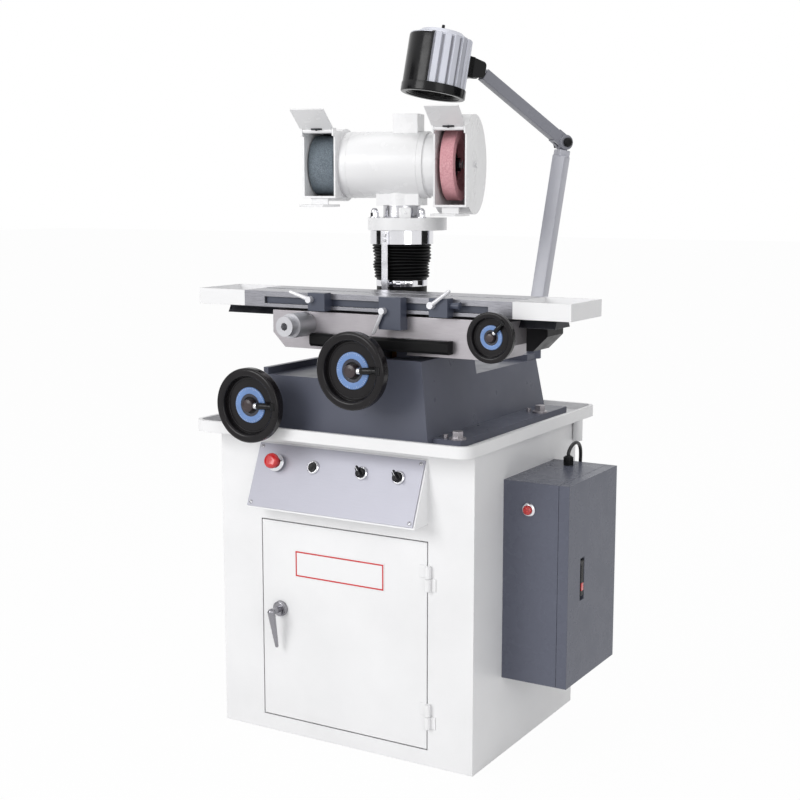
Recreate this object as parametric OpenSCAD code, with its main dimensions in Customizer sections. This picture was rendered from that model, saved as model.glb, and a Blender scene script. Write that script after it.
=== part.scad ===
// Tool and cutter grinder on a sheet-metal cabinet. Millimetres.
// Origin at the centre of the cabinet's floor face, +X right, +Y back, +Z up.

/* [Cabinet] */
// Cabinet width
cab_w = 640; // [600:1:700]
// Cabinet depth
cab_d = 509; // [480:1:560]
// Cabinet height to its top sheet
cab_h = 693; // [680:1:760]
// Sheet thickness
sheet = 2.5; // [1.5:0.1:4]
// Door width
door_w = 420; // [380:1:460]
// Door height
door_h = 450; // [400:1:460]
// Height of the door's lower edge
door_z = 37; // [25:1:50]
// Depth of the door pan
door_t = 20; // [14:1:28]
// Gap round the door
door_gap = 2.5; // [1.5:0.1:4]

/* [Tray] */
// Overhang of the tray past the cabinet's sides
tray_over_x = 22; // [16:1:40]
// Room in the tray in front of and behind the base casting, rim included
tray_room_y = 43.5; // [35:0.5:60]
// Height of the rim above the tray's floor
tray_rise = 15; // [8:1:25]
// Thickness of the rim
rim_t = 9; // [5:1:12]

/* [Control panel] */
// Width of the sloping control housing
panel_w = 424; // [400:1:460]
// Height of the housing
panel_h = 138; // [120:1:150]
// How far its lower edge stands out
panel_out = 58; // [45:1:70]

/* [Electrical box] */
// Depth of the box away from the cabinet, without its door
ebox_t = 126; // [100:1:160]
// Depth of the box door
edoor_t = 24; // [16:1:30]
// Width of the box along the cabinet's side
ebox_w = 260; // [220:1:290]
// Height of the box
ebox_h = 434; // [360:1:460]

/* [Base casting] */
// Width of the casting at its foot
base_w = 436; // [400:1:470]
// Depth of the casting at its foot
base_d = 568; // [550:1:600]
// Height of its lower top above the tray's floor
low_h = 120; // [110:1:135]
// Height of the pedestal's shelf above the tray's floor
ped_h = 170; // [160:1:190]
// Wall thickness of the casting
wall = 14; // [10:1:18]
// Width of the cross dovetail at its top
dove_w = 152; // [130:1:170]
// Height of the cross dovetail
dove_h = 30; // [24:1:36]

/* [Saddle and table] */
// Length of the saddle
saddle_l = 568; // [520:1:600]
// Height of the saddle
saddle_h = 79; // [70:1:90]
// Length of the table
table_l = 646; // [600:1:700]
// Width of the table
table_w = 150; // [140:1:160]
// Thickness of the table
table_t = 34; // [30:1:40]
// Length of each end tray
end_tray_l = 124; // [90:1:150]

/* [Handwheels] */
// Diameter of the elevation and cross-feed handwheels
wheel_d = 160; // [140:1:165]
// Diameter of the table handwheel
small_wheel_d = 100; // [80:1:102]

/* [Column and wheelhead] */
// Diameter of the column tube
column_d = 90; // [80:1:94]
// Number of ribs on the bellows
rib_n = 11; // [6:1:12]
// Height of the spindle above the column collar
spindle_h = 147; // [140:1:160]
// Turn of the wheelhead about the column
head_swing = 14; // [0:1:30]
// Diameter of the motor
motor_d = 150; // [130:1:156]
// Diameter of the grey wheel
grey_d = 134; // [110:1:150]
// Diameter of the pink wheel
pink_d = 160; // [125:1:170]

/* [Lamp] */
// Length of the lower arm between its pivots
lamp_low_l = 446; // [400:1:480]
// Length of the upper arm between its pivots
lamp_up_l = 278; // [220:1:320]
// Diameter of the lamp head
lamp_d = 140; // [110:1:150]

/* [Hidden] */
$fn = 64;

// One overrun for all cuts, and the clearances that the fits share
over = 2;
run_fit = 0.05;
way_gap = 0.3;
part_gap = 0.5;

// Cabinet
front_y = -cab_d / 2;
side_x = cab_w / 2;
hinge_d = 12;
hinge_h = 54;
hinge_pin_d = 6;
hinge_in = 48;
hinge_x = door_w / 2 + hinge_d / 2;
hinge_y = front_y - hinge_d / 2 - way_gap;
hinge_gap = 1;
leaf_w = 16;
leaf_t = 2;
handle_x = -162;
handle_z = 289;
handle_head_d = 34;
handle_head_t = 8;
handle_out = 38;
handle_l = 84;
handle_neck_d = 14;
handle_root_d = 17;
handle_tip_d = 8;
handle_lean = 13;
handle_stem_d = 14;
cam_l = 62;
cam_w = 18;
cam_t = 4;

// Tray
tray_floor = 3;
tray_lap = 7;
tray_r = 30;
tray_w = cab_w + 2 * tray_over_x;
tray_d = base_d + 2 * tray_room_y;
floor_z = cab_h + tray_floor;
drain_d = 22;
drain_wall = 3;
drain_l = 56;
drain_x = side_x + tray_over_x / 2 + part_gap;
drain_y = 240;

// Control panel
panel_drop = 22;
panel_top = cab_h - tray_lap - panel_drop;
panel_sheet = 2;
panel_t = 3;
panel_margin = 4;
panel_tilt = atan2(panel_out, panel_h);
panel_slope = sqrt(panel_out * panel_out + panel_h * panel_h);
switch_drop_share = 0.31;
switch_s = panel_slope * switch_drop_share;
estop_x = -152;
start_x = -58;
select_left_x = 64;
select_right_x = 154;
bezel_d = 30;
bezel_t = 5;
switch_d = 22;
switch_deep = 14;
button_deep = 8;
estop_d = 40;
estop_head = 16;
estop_stand = 12;
button_d = 18;
knob_d = 23;
knob_h = 18;
knob_grip_w = 7;
knob_turn = 40;
screw_d = 9;
screw_t = 2.5;
screw_in = 12;

// Electrical box
ebox_y = -122;
ebox_drop = 84;
ebox_z = cab_h - ebox_drop - ebox_h;
ebox_sheet = 2;
edoor_gap = 0.8;
edoor_x = side_x + ebox_t;
ehinge_d = 10;
ehinge_y = ebox_y + ebox_w + ehinge_d / 2 + way_gap;
elatch_y = 64;
elatch_z = 222;
elatch_w = 22;
elatch_h = 92;
elatch_deep = 12;
elatch_lever_w = 14;
elatch_lever_h = 74;
elatch_lever_t = 7;
elatch_pin_d = 4;
pilot_x = 59;
pilot_z = 58;
pilot_d = 30;
pilot_h = 14;
gland_x = 54.5;
gland_y = 212;
gland_d = 24;
gland_h = 21;
gland_base_share = 0.35;
gland_body_share = 0.86;
gland_neck_share = 0.68;
wall_gland_back = 22;
wall_gland_drop = 63;
loop_d = 8;
loop_sides = 10;
loop_side_ref = [1, 0.2, -0.5];
gland_top = [side_x + gland_x, ebox_y + gland_y, ebox_z + ebox_h + gland_h];
wall_tip = [side_x + gland_h, ebox_y + ebox_w + wall_gland_back, ebox_z + ebox_h - wall_gland_drop];
loop_seat = 0.05;
loop_rise = 6;
loop_lead = 3;
loop_bend = 30;
loop_steps = [[1.2, 6, 15], [2.6, 16, 22], [3.5, 30, 24.5], [3.5, 45, 21], [3, 56, 12], [2, 63, -1],
  [0.5, 66.5, -18], [-1, 68.5, -36]];
loop_turns = [0, 30, 60];
loop_turn = wall_tip + [loop_lead, 0, loop_bend];
loop_pts = concat([gland_top + [0, 0, loop_seat], gland_top + [0, 0, loop_rise]],
  [for (q = loop_steps) gland_top + q],
  [for (a = loop_turns) loop_turn + loop_bend * [cos(a), 0, -sin(a)]],
  [wall_tip + [loop_lead, 0, 0], wall_tip + [loop_seat, 0, 0]]);

// Base casting
base_x = 10;
taper_x_share = 0.16;
taper_y_share = 0.11;
low_z = floor_z + low_h;
ped_z = floor_z + ped_h;
flange_over = 64;
flange_in = 20;
flange_t = 14;
lip_h = 15;
lip_t = 12;
ped_x = 95;
ped_side = 107;
ped_back = -35;
dove_under = 10;
dove_front = -221;
dove_z = ped_z + dove_h;
cross_drop = 15;
cross_z = ped_z - cross_drop;
slot_w = 44;
slot_end = 22;
bolt_hex = 24;
bolt_head = 13;
bolt_washer_d = 34;
bolt_washer_t = 4;
bolt_front = 38;
bolt_back = 134;
bolt_y = [bolt_front - base_d / 2, base_d / 2 - bolt_back];
bolt_in = 16;
dowel_d = 10;
dowel_h = 8;
dowel_in = 44;
elev_in = 43;
elev_x = base_x - base_w / 2 + elev_in;
elev_rise = 64;
elev_z = floor_z + elev_rise;
boss_d = 46;
elev_boss_out = 38;
elev_boss_y = -base_d / 2 - elev_boss_out;
cross_boss_y = -327;
elev_rib_in = 172;
elev_rib_y = base_d / 2 - elev_rib_in;
elev_rib_t = 14;
elev_rib_half = 22;
web_w = 40;
web_h = 26;
tube_room = 2;

// Handwheels
shaft_d = 20;
small_shaft_d = 16;
elev_wheel_out = 20;
elev_wheel_y = elev_boss_y - elev_wheel_out;
cross_wheel_y = -347;
wheel_rim_share = 0.115;
wheel_depth_share = 0.16;
wheel_web_share = 0.05;
wheel_back_share = 0.0125;
wheel_hub_share = 0.125;
dial_out_share = 0.195;
dial_in_share = 0.11;
dial_t_share = 0.012;
grip_pivot_share = 0.41;
grip_tip_share = 0.13;
grip_d_share = 0.082;
grip_rise_share = 0.125;
grip_root_share = 0.7;
notch_share = 0.1;
pin_share = 0.032;
hub_nut_share = 0.08;
elev_handle_turn = 2;
cross_handle_turn = 4;
table_handle_turn = 48;

// Column
col_x = -41;
col_y = 70;
sleeve_rise = 314;
sleeve_top = floor_z + sleeve_rise;
sleeve_step = 35;
sleeve_d = 128;
sleeve_flange_d = 190;
sleeve_flange_t = 18;
tube_low = 28;
tube_bore_d = 70;
tube_nut_h = 40;
screw_lift_d = 24;
screw_journal_d = 16;
gear_rise = 49;
gear_z = floor_z + gear_rise;
gear_t = 26;
gear_teeth = 54;
gear_tooth = 5;
worm_r = 16;
worm_half = 30;
screw_past = 2;
collar_d = 145;
collar_h = 31;
pivot_d = 40;
pivot_h = 15;
bellows_z = sleeve_top - sleeve_step;
bellows_h = 114;
bellows_d = 126;
bellows_fold = 5;
bellows_flare = 5;
bellows_wall = 1.2;
sleeve_neck_d = bellows_d - 2 * (bellows_fold + bellows_wall + way_gap);
collar_z = bellows_z + bellows_h;
bar_w = 16;
bar_t = 5;
bar_low = 66;
bar_lug_w = 34;
bar_lug_h = 24;
bar_lug_wall = 6;
bar_screw_d = 8;
bar_screw_t = 2;
bar_screw_z = 10;
bar_screw_step = 11;

// Saddle
saddle_x = 116;
saddle_front = -262;
saddle_gap = 11;
saddle_z = ped_z + saddle_gap;
saddle_top = saddle_z + saddle_h;
saddle_chamfer = 31;
beam_d = 122;
block_d = 192;
block_l = 430;
slide_w = 72;
slide_under = 8;
slide_h = 20;
slide_y = -190;
slide_over = 74;
slide_floor = 14;
slide_z = saddle_top - slide_floor;
slide_top = slide_z + slide_h;
cover_l = 332;
cover_h = 27;
cover_t = 22;
cover_x = 106;
cover_up = 8;
end_cover_l = 46;
end_cover_d = 76;
end_cover_h = 50;
nut_l = 46;
nut_w = 38;
nut_y = -150;
pinion_x = 384;
knob_x = -83;
pinion_drop = 12.5;
pinion_z = slide_z - pinion_drop;
pinion_r = 12;
pinion_teeth = 10;
pinion_tooth = 3;
pinion_w = 40;
pinion_past = 28;
rack_l = 780;
rack_w = 44;
rack_shares = [[0.15, 1], [0.4, 1], [0.55, 0], [1, 0]];
small_wheel_y = -308;
saddle_boss_d = 38;
saddle_boss_y = -296;
feed_body_d = 52;
feed_ring_d = 42;
feed_body_l = 58;
feed_ring_l = 22;
feed_hole_d = 16;
feed_hole_deep = 20;

// Table
table_x = 81;
table_front = -264;
table_z = slide_top;
table_top = table_z + table_t;
tslot_w = 14;
tslot_head = 24;
tslot_neck = 11;
tslot_deep = 21;
front_slot_l = 540;
front_slot_h = 15;
front_slot_deep = 9;
front_slot_up = 12;
tray_wall = 2.5;
stop_w = 42;
stop_t = 24;
stop_h = 38;
stop_low = 2;
left_stop_x = -39;
right_stop_x = 252;
center_stop_x = 141;
center_stop_w = 52;
center_stop_low = 32;
stop_gap = 2;
lever_stud_d = 14;
lever_stud_l = 12;
lever_l = 50;
lever_d = 9;
lever_tip_d = 7;
lever_pin_d = 8;
lever_pin_l = 14;
lever_drop = 12;
lever_z = table_top - lever_drop;
center_lever_drop = 28;
center_lever_z = table_top - center_lever_drop;
lever_in = 13;
left_lever_turn = 163;
center_lever_turn = 245;
right_lever_turn = 36;
stop_knob_d = 15;
stop_knob_l = 22;
knob_root_share = 0.7;

// Wheelhead
swivel_d = 156;
swivel_past = 26;
swivel_t = 28;
swivel_z = collar_z + collar_h;
foot_w = 100;
foot_d = 76;
foot_waist = 84;
foot_pad = 16;
axis_z = swivel_z + spindle_h;
motor_l = -132;
motor_r = 66;
adapter_r = 96;
adapter_d = 142;
motor_wall = 8;
motor_round = 10;
cap_l = 58;
cap_w = 56;
cap_h = 38;
cap_x = 16;
spindle_d = 20;
rotor_d = 108;
grey_room = 15;
pink_room = 31;
left_guard_r = grey_d / 2 + grey_room;
right_guard_r = pink_d / 2 + pink_room;
left_guard_w = 78;
right_guard_w = 76;
guard_wall = 4;
guard_hole_d = 44;
mouth_past = 2;
mouth_y = pink_d / 2 + mouth_past;
left_mouth_room = 16;
right_mouth_room = 12;
left_mouth_h = grey_d + left_mouth_room;
right_mouth_h = pink_d + right_mouth_room;
right_mouth_drop = 8;
mouth_wall = 5;
rest_out = 40;
rest_in = 30;
rest_t = 5;
rest_bend = 14;
shield_l = 85;
shield_foot = 12;
shield_t = 3;
shield_tilt = 59;
shield_pin_d = 6;
lug_out = 2 * shield_pin_d;
lug_in = 8;
lug_h = 12;
grey_w = 58;
pink_w = 30;
grey_recess = 20;
recess_share = 0.56;
cup_floor = 10;
cup_wall = 22;
flange_d = 54;
flange_w = 6;
spindle_nut_d = 30;
spindle_nut_w = 12;
wheel_gap = 2;
spindle_past = 2;
guard_cap_d = 14;

// Lamp
lamp_in = 32;
lamp_x = base_x + base_w / 2 - lamp_in;
lamp_y = 285;
lamp_turn = 235.6;
lamp_plate_w = 74;
lamp_plate_d = 76;
lamp_plate_t = 14;
lamp_post_d = 34;
lamp_post_h = 22;
lamp_spigot_d = 18;
lamp_spigot_h = 20;
lamp_shift = 26;
arm_w = 22;
arm_wall = 2;
low_lean = 9.3;
up_rise = 34.6;
elbow_d = 30;
elbow_t = 8;
tongue_share = 0.7;
elbow_pin_d = 8;
lamp_knob_d = 26;
lamp_knob_t = 14;
lamp_tilt = 10;
lamp_reach = 102;
lamp_h = 128;
lamp_drop = 78;
lamp_wall = 5;
lamp_flutes = 20;
flute_deep = 4;
flute_shares = [[0, 0], [0.55, 0], [0.65, 1], [0.9, 1]];
lamp_plain = 44;
lamp_ring_over = 1.5;
lamp_ring_h = 18;
lamp_cap_h = 12;
toggle_d = 6;
toggle_h = 16;

// Turn +Z to the named direction
module to_front() { rotate([90, 0, 0]) children(); }
module to_back() { rotate([-90, 0, 0]) children(); }
module to_right() { rotate([0, 90, 0]) children(); }
module to_left() { rotate([0, -90, 0]) children(); }

// Plate outline with round corners, centred
module round_rect(w, d, r) {
  square([w - 2 * r, d], center = true);
  square([w, d - 2 * r], center = true);
  for (x = [-1, 1], y = [-1, 1]) translate([x * (w / 2 - r), y * (d / 2 - r)]) circle(r);
}

// Box centred in X and Y, standing on z = 0
module block(w, d, h) { translate([-w / 2, -d / 2, 0]) cube([w, d, h]); }

// Ring standing on z = 0
module ring(d_out, d_in, h) {
  difference() {
    cylinder(d = d_out, h = h);
    translate([0, 0, -over]) cylinder(d = d_in, h = h + 2 * over);
  }
}

// Spur gear outline: straight-flanked teeth on a round body
module gear_outline(tip_r, tooth, teeth) {
  step = 360 / teeth;
  tip_share = 0.14;
  root_share = 0.3;
  polygon([for (i = [0 : teeth - 1], p = [[-root_share, 0], [-tip_share, 1], [tip_share, 1], [root_share, 0]])
    let (r = tip_r - tooth * (1 - p[1]), a = step * (i + p[0])) [r * cos(a), r * sin(a)]]);
}

// Everything on the wheelhead, in its own frame: x along the spindle, origin on the column axis
module on_head() { translate([col_x, col_y, 0]) rotate([0, 0, head_swing]) children(); }
module on_spindle() { on_head() translate([0, 0, axis_z]) children(); }

// Everything on the control plate: x across, y up the slope, z out of the plate
module on_panel() {
  translate([0, front_y, panel_top]) rotate([90 - panel_tilt, 0, 0]) children();
}

// Cabinet
module cabinet() {
  color("white") {
    difference() {
      block(cab_w, cab_d, cab_h);
      translate([0, 0, sheet]) block(cab_w - 2 * sheet, cab_d - 2 * sheet, cab_h - 2 * sheet);
      translate([-door_w / 2 - door_gap, front_y - over, door_z - door_gap])
        cube([door_w + 2 * door_gap, sheet + 2 * over, door_h + 2 * door_gap]);
    }
    for (z = hinge_zs()) translate([hinge_x, hinge_y, z]) {
      ring(hinge_d, hinge_pin_d, hinge_h / 2 - hinge_gap / 2);
      translate([0, hinge_d / 2 - leaf_t, 0])
        cube([leaf_w, leaf_t + way_gap, hinge_h / 2 - hinge_gap / 2]);
    }
  }
}

function hinge_zs() = [door_z + hinge_in, door_z + door_h - hinge_in - hinge_h];

module cabinet_door() {
  color("white") difference() {
    union() {
      difference() {
        translate([-door_w / 2, front_y, door_z]) cube([door_w, door_t, door_h]);
        translate([-door_w / 2 + sheet, front_y + sheet, door_z + sheet])
          cube([door_w - 2 * sheet, door_t, door_h - 2 * sheet]);
      }
      for (z = hinge_zs()) translate([hinge_x, hinge_y, z + hinge_h / 2 + hinge_gap / 2]) {
        cylinder(d = hinge_d, h = hinge_h / 2 - hinge_gap / 2);
        translate([0, 0, -hinge_h / 2 - hinge_gap / 2])
          cylinder(d = hinge_pin_d - 2 * run_fit, h = hinge_h / 2 + hinge_gap);
        translate([-leaf_w - hinge_d / 2, hinge_d / 2 - leaf_t, 0])
          cube([leaf_w + hinge_d / 2, leaf_t, hinge_h / 2 - hinge_gap / 2]);
        translate([-leaf_w - hinge_d / 2, hinge_d / 2 - leaf_t, 0])
          cube([leaf_w, leaf_t + way_gap, hinge_h / 2 - hinge_gap / 2]);
      }
    }
    translate([handle_x, front_y - over, handle_z])
      to_back() cylinder(d = handle_stem_d + 2 * run_fit, h = sheet + 2 * over);
  }
}

module door_handle() {
  color("silver") translate([handle_x, front_y, handle_z]) {
    translate([0, -part_gap, 0]) to_front() cylinder(d = handle_head_d, h = handle_head_t);
    translate([0, -part_gap - over, 0]) to_back()
      cylinder(d = handle_stem_d, h = part_gap + over + door_t + 2 * cam_t);
    translate([0, -part_gap, 0]) to_front() cylinder(d = handle_neck_d, h = handle_out);
    translate([0, -part_gap - handle_out, 0]) {
      sphere(d = handle_root_d);
      rotate([180 + handle_lean, 0, 0]) {
        cylinder(d1 = handle_root_d, d2 = handle_tip_d, h = handle_l);
        translate([0, 0, handle_l]) sphere(d = handle_tip_d);
      }
    }
    translate([-cam_w / 2, door_t + cam_t, -cam_w / 2]) cube([cam_w, cam_t, cam_l]);
  }
}

// Coolant tray: a pan with a thick rolled rim and a drain spout
module coolant_tray() {
  color("white") difference() {
    union() {
      translate([0, 0, cab_h - tray_lap]) linear_extrude(tray_floor + tray_rise + tray_lap)
        round_rect(tray_w, tray_d, tray_r);
      translate([drain_x, drain_y, cab_h - drain_l]) cylinder(d = drain_d, h = drain_l);
    }
    translate([0, 0, floor_z]) linear_extrude(tray_rise + over)
      round_rect(tray_w - 2 * rim_t, tray_d - 2 * rim_t, tray_r - rim_t);
    difference() {
      translate([0, 0, cab_h - tray_lap - over]) linear_extrude(tray_lap + over)
        round_rect(tray_w - 2 * rim_t, tray_d - 2 * rim_t, tray_r - rim_t);
      translate([drain_x, drain_y, cab_h - drain_l]) cylinder(d = drain_d, h = drain_l);
    }
    translate([drain_x, drain_y, cab_h - drain_l - over])
      cylinder(d = drain_d - 2 * drain_wall, h = drain_l + tray_floor + 2 * over);
  }
}

// Control housing: a folded wedge on the cabinet's front
module panel_housing() {
  color("whitesmoke") difference() {
    translate([-panel_w / 2, 0, 0]) wedge(panel_w, 0);
    translate([-panel_w / 2 + panel_sheet, 0, 0]) wedge(panel_w - 2 * panel_sheet, panel_sheet);
    for (x = switch_xs()) on_panel() translate([x, -switch_s, -over - panel_sheet])
      cylinder(d = switch_d + 2 * run_fit, h = panel_sheet + 2 * over);
  }
}

// Side outline of the wedge, drawn in by t, over a width w
module wedge(w, t) {
  translate([0, front_y, panel_top]) rotate([90, 0, 90]) linear_extrude(w)
    polygon([[-t, -2 * t * panel_h / panel_out], [-panel_out + 2 * t, -panel_h + t], [-t, -panel_h + t]]);
}

function switch_xs() = [estop_x, start_x, select_left_x, select_right_x];

module panel_plate() {
  color("lightgray") difference() {
    on_panel() translate([-panel_w / 2 + panel_margin, -panel_slope + panel_margin, 0])
      cube([panel_w - 2 * panel_margin, panel_slope - 2 * panel_margin, panel_t]);
    for (x = switch_xs()) on_panel() translate([x, -switch_s, -over])
      cylinder(d = switch_d + 2 * run_fit, h = panel_t + 2 * over);
  }
}

// Bezels of the four switches, the panel's corner screws and the box's pilot lamp
module switch_bezels() {
  color("dimgray") {
    for (x = switch_xs()) on_panel() translate([x, -switch_s, panel_t]) {
      ring(bezel_d, button_d + 2 * part_gap, bezel_t);
      translate([0, 0, -switch_deep]) ring(switch_d, button_d + 2 * part_gap, switch_deep);
    }
    for (x = [-1, 1], y = [screw_in, panel_slope - screw_in]) on_panel()
      translate([x * (panel_w / 2 - screw_in), -y, panel_t]) cylinder(d = screw_d, h = screw_t);
    translate([side_x + pilot_x, ebox_y, ebox_z + ebox_h - pilot_z]) to_front() {
      cylinder(d = pilot_d, h = bezel_t);
      cylinder(d = pilot_d - 2 * bezel_t, h = pilot_h);
    }
  }
}

module estop_button() {
  color("red") on_panel() translate([estop_x, -switch_s, panel_t]) {
    translate([0, 0, -button_deep]) cylinder(d = button_d, h = button_deep + bezel_t + estop_stand);
    translate([0, 0, bezel_t + estop_stand]) cylinder(d = estop_d, h = estop_head);
  }
}

module start_button() {
  color("black") on_panel() translate([start_x, -switch_s, panel_t - button_deep])
    cylinder(d = button_d, h = button_deep + 2 * bezel_t);
}

module selector(x) {
  color("black") on_panel() translate([x, -switch_s, panel_t]) {
    translate([0, 0, -button_deep]) cylinder(d = button_d, h = button_deep + bezel_t + part_gap);
    translate([0, 0, bezel_t + part_gap]) cylinder(d = knob_d, h = bezel_t);
    translate([0, 0, bezel_t + part_gap]) rotate([0, 0, knob_turn])
      block(knob_grip_w, knob_d, knob_h);
  }
}
module selector_left() { selector(select_left_x); }
module selector_right() { selector(select_right_x); }

// Electrical box on the cabinet's right side
module electric_box() {
  color("slategray") {
    difference() {
      translate([side_x, ebox_y, ebox_z]) cube([ebox_t, ebox_w, ebox_h]);
      translate([side_x + ebox_sheet, ebox_y + ebox_sheet, ebox_z + ebox_sheet])
        cube([ebox_t, ebox_w - 2 * ebox_sheet, ebox_h - 2 * ebox_sheet]);
    }
    for (z = ehinge_zs()) translate([edoor_x, ehinge_y, z]) ehinge_half(1);
  }
}

function ehinge_zs() = [ebox_z + hinge_in, ebox_z + ebox_h - hinge_in - hinge_h];

// Half a hinge at the box's back edge: 1 is the fixed lower half, -1 the door's upper half with its pin
module ehinge_half(side) {
  half = hinge_h / 2 - hinge_gap / 2;
  if (side > 0) {
    ring(ehinge_d, hinge_pin_d, half);
    translate([-leaf_w, -ehinge_d / 2 - way_gap, 0]) cube([leaf_w, leaf_t + way_gap, half]);
  } else {
    translate([0, 0, half + hinge_gap]) cylinder(d = ehinge_d, h = half);
    cylinder(d = hinge_pin_d - 2 * run_fit, h = half + hinge_gap);
    translate([edoor_gap, -ehinge_d / 2 - way_gap, half + hinge_gap])
      cube([leaf_w, leaf_t + way_gap, half]);
  }
}

module electric_door() {
  color("slategray") difference() {
    union() {
      difference() {
        translate([edoor_x + edoor_gap, ebox_y, ebox_z]) cube([edoor_t - edoor_gap, ebox_w, ebox_h]);
        translate([edoor_x - over, ebox_y + ebox_sheet, ebox_z + ebox_sheet])
          cube([edoor_t + over - ebox_sheet, ebox_w - 2 * ebox_sheet, ebox_h - 2 * ebox_sheet]);
      }
      for (z = ehinge_zs()) translate([edoor_x, ehinge_y, z]) ehinge_half(-1);
      translate([edoor_x + edoor_t - elatch_deep - ebox_sheet, ebox_y + elatch_y - ebox_sheet,
        ebox_z + elatch_z - elatch_h / 2 - ebox_sheet])
        cube([elatch_deep + ebox_sheet, elatch_w + 2 * ebox_sheet, elatch_h + 2 * ebox_sheet]);
    }
    translate([edoor_x + edoor_t - elatch_deep, ebox_y + elatch_y, ebox_z + elatch_z - elatch_h / 2])
      cube([elatch_deep + over, elatch_w, elatch_h]);
    at_latch() translate([-elatch_lever_t / 2, -elatch_w, elatch_lever_h / 2]) to_back()
      cylinder(d = elatch_pin_d + 2 * run_fit, h = 2 * elatch_w);
  }
}

// Flush lever of the box latch, hinged at its top in the recess
module at_latch() {
  translate([edoor_x + edoor_t, ebox_y + elatch_y + elatch_w / 2, ebox_z + elatch_z]) children();
}
module box_latch() {
  color("black") at_latch() {
    translate([-elatch_lever_t, -elatch_lever_w / 2, -elatch_lever_h / 2])
      cube([elatch_lever_t, elatch_lever_w, elatch_lever_h]);
    translate([-elatch_lever_t / 2, -elatch_w / 2 + way_gap, elatch_lever_h / 2])
      to_back() cylinder(d = elatch_lever_t, h = elatch_w - 2 * way_gap);
    translate([-elatch_lever_t / 2, -elatch_w / 2 - ebox_sheet, elatch_lever_h / 2])
      to_back() cylinder(d = elatch_pin_d, h = elatch_w + 2 * ebox_sheet);
  }
}

// Cable glands on the box's roof and behind the box on the cabinet's side
module gland() {
  base_h = gland_h * gland_base_share;
  cylinder(d = gland_d, h = base_h, $fn = 6);
  translate([0, 0, base_h])
    cylinder(d1 = gland_d * gland_body_share, d2 = gland_d * gland_neck_share, h = gland_h - base_h);
}
module cable_glands() {
  color("black") {
    translate([gland_top[0], gland_top[1], ebox_z + ebox_h]) gland();
    translate([side_x, wall_tip[1], wall_tip[2]]) to_right() gland();
  }
}

// Tube along a list of points: one ring of sides at each point
function unit3(v) = v / norm(v);
function along(p, i) = unit3(p[min(i + 1, len(p) - 1)] - p[max(i - 1, 0)]);
function ring_at(p, i, d, sides) =
  let (t = along(p, i), u = unit3(cross(t, loop_side_ref)), v = cross(t, u))
  [for (k = [0 : sides - 1]) p[i] + d / 2 * (cos(360 * k / sides) * u + sin(360 * k / sides) * v)];
module tube(p, d, sides) {
  n = len(p);
  polyhedron(
    points = [for (i = [0 : n - 1]) each ring_at(p, i, d, sides)],
    faces = concat(
      [for (k = [1 : sides - 2]) [0, k, k + 1]],
      [for (k = [1 : sides - 2]) [(n - 1) * sides, (n - 1) * sides + k + 1, (n - 1) * sides + k]],
      [for (i = [0 : n - 2], k = [0 : sides - 1], h = [0, 1])
        let (a = i * sides + k, b = i * sides + (k + 1) % sides)
        h == 0 ? [a, a + sides, b] : [b, a + sides, b + sides]]));
}
module cable_loop() { color("black") tube(loop_pts, loop_d, loop_sides); }

// Base casting
module trapezoid(w, h, lean) {
  polygon([[-w / 2, 0], [w / 2, 0], [w / 2 - h * lean, h], [-w / 2 + h * lean, h]]);
}

// Tapered box on the tray's floor, drawn in by t on its sides
module taper_box(t, h) {
  intersection() {
    translate([base_x, base_d, floor_z]) to_front() linear_extrude(2 * base_d)
      trapezoid(base_w - 2 * t, h, taper_x_share);
    translate([base_x - base_w, 0, floor_z]) rotate([90, 0, 90]) linear_extrude(2 * base_w)
      trapezoid(base_d - 2 * t, h, taper_y_share);
  }
}

// The quarter of the casting that the pedestal takes, drawn in by t
module ped_corner(t) {
  translate([ped_x - ped_side + t, -base_d, floor_z - over])
    cube([base_w, base_d + ped_back - t, ped_h + 2 * over]);
}

// Half width of the cross dovetail at height z
function dove_half(z) = dove_w / 2 - dove_under * (dove_z - z) / dove_h;

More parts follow.
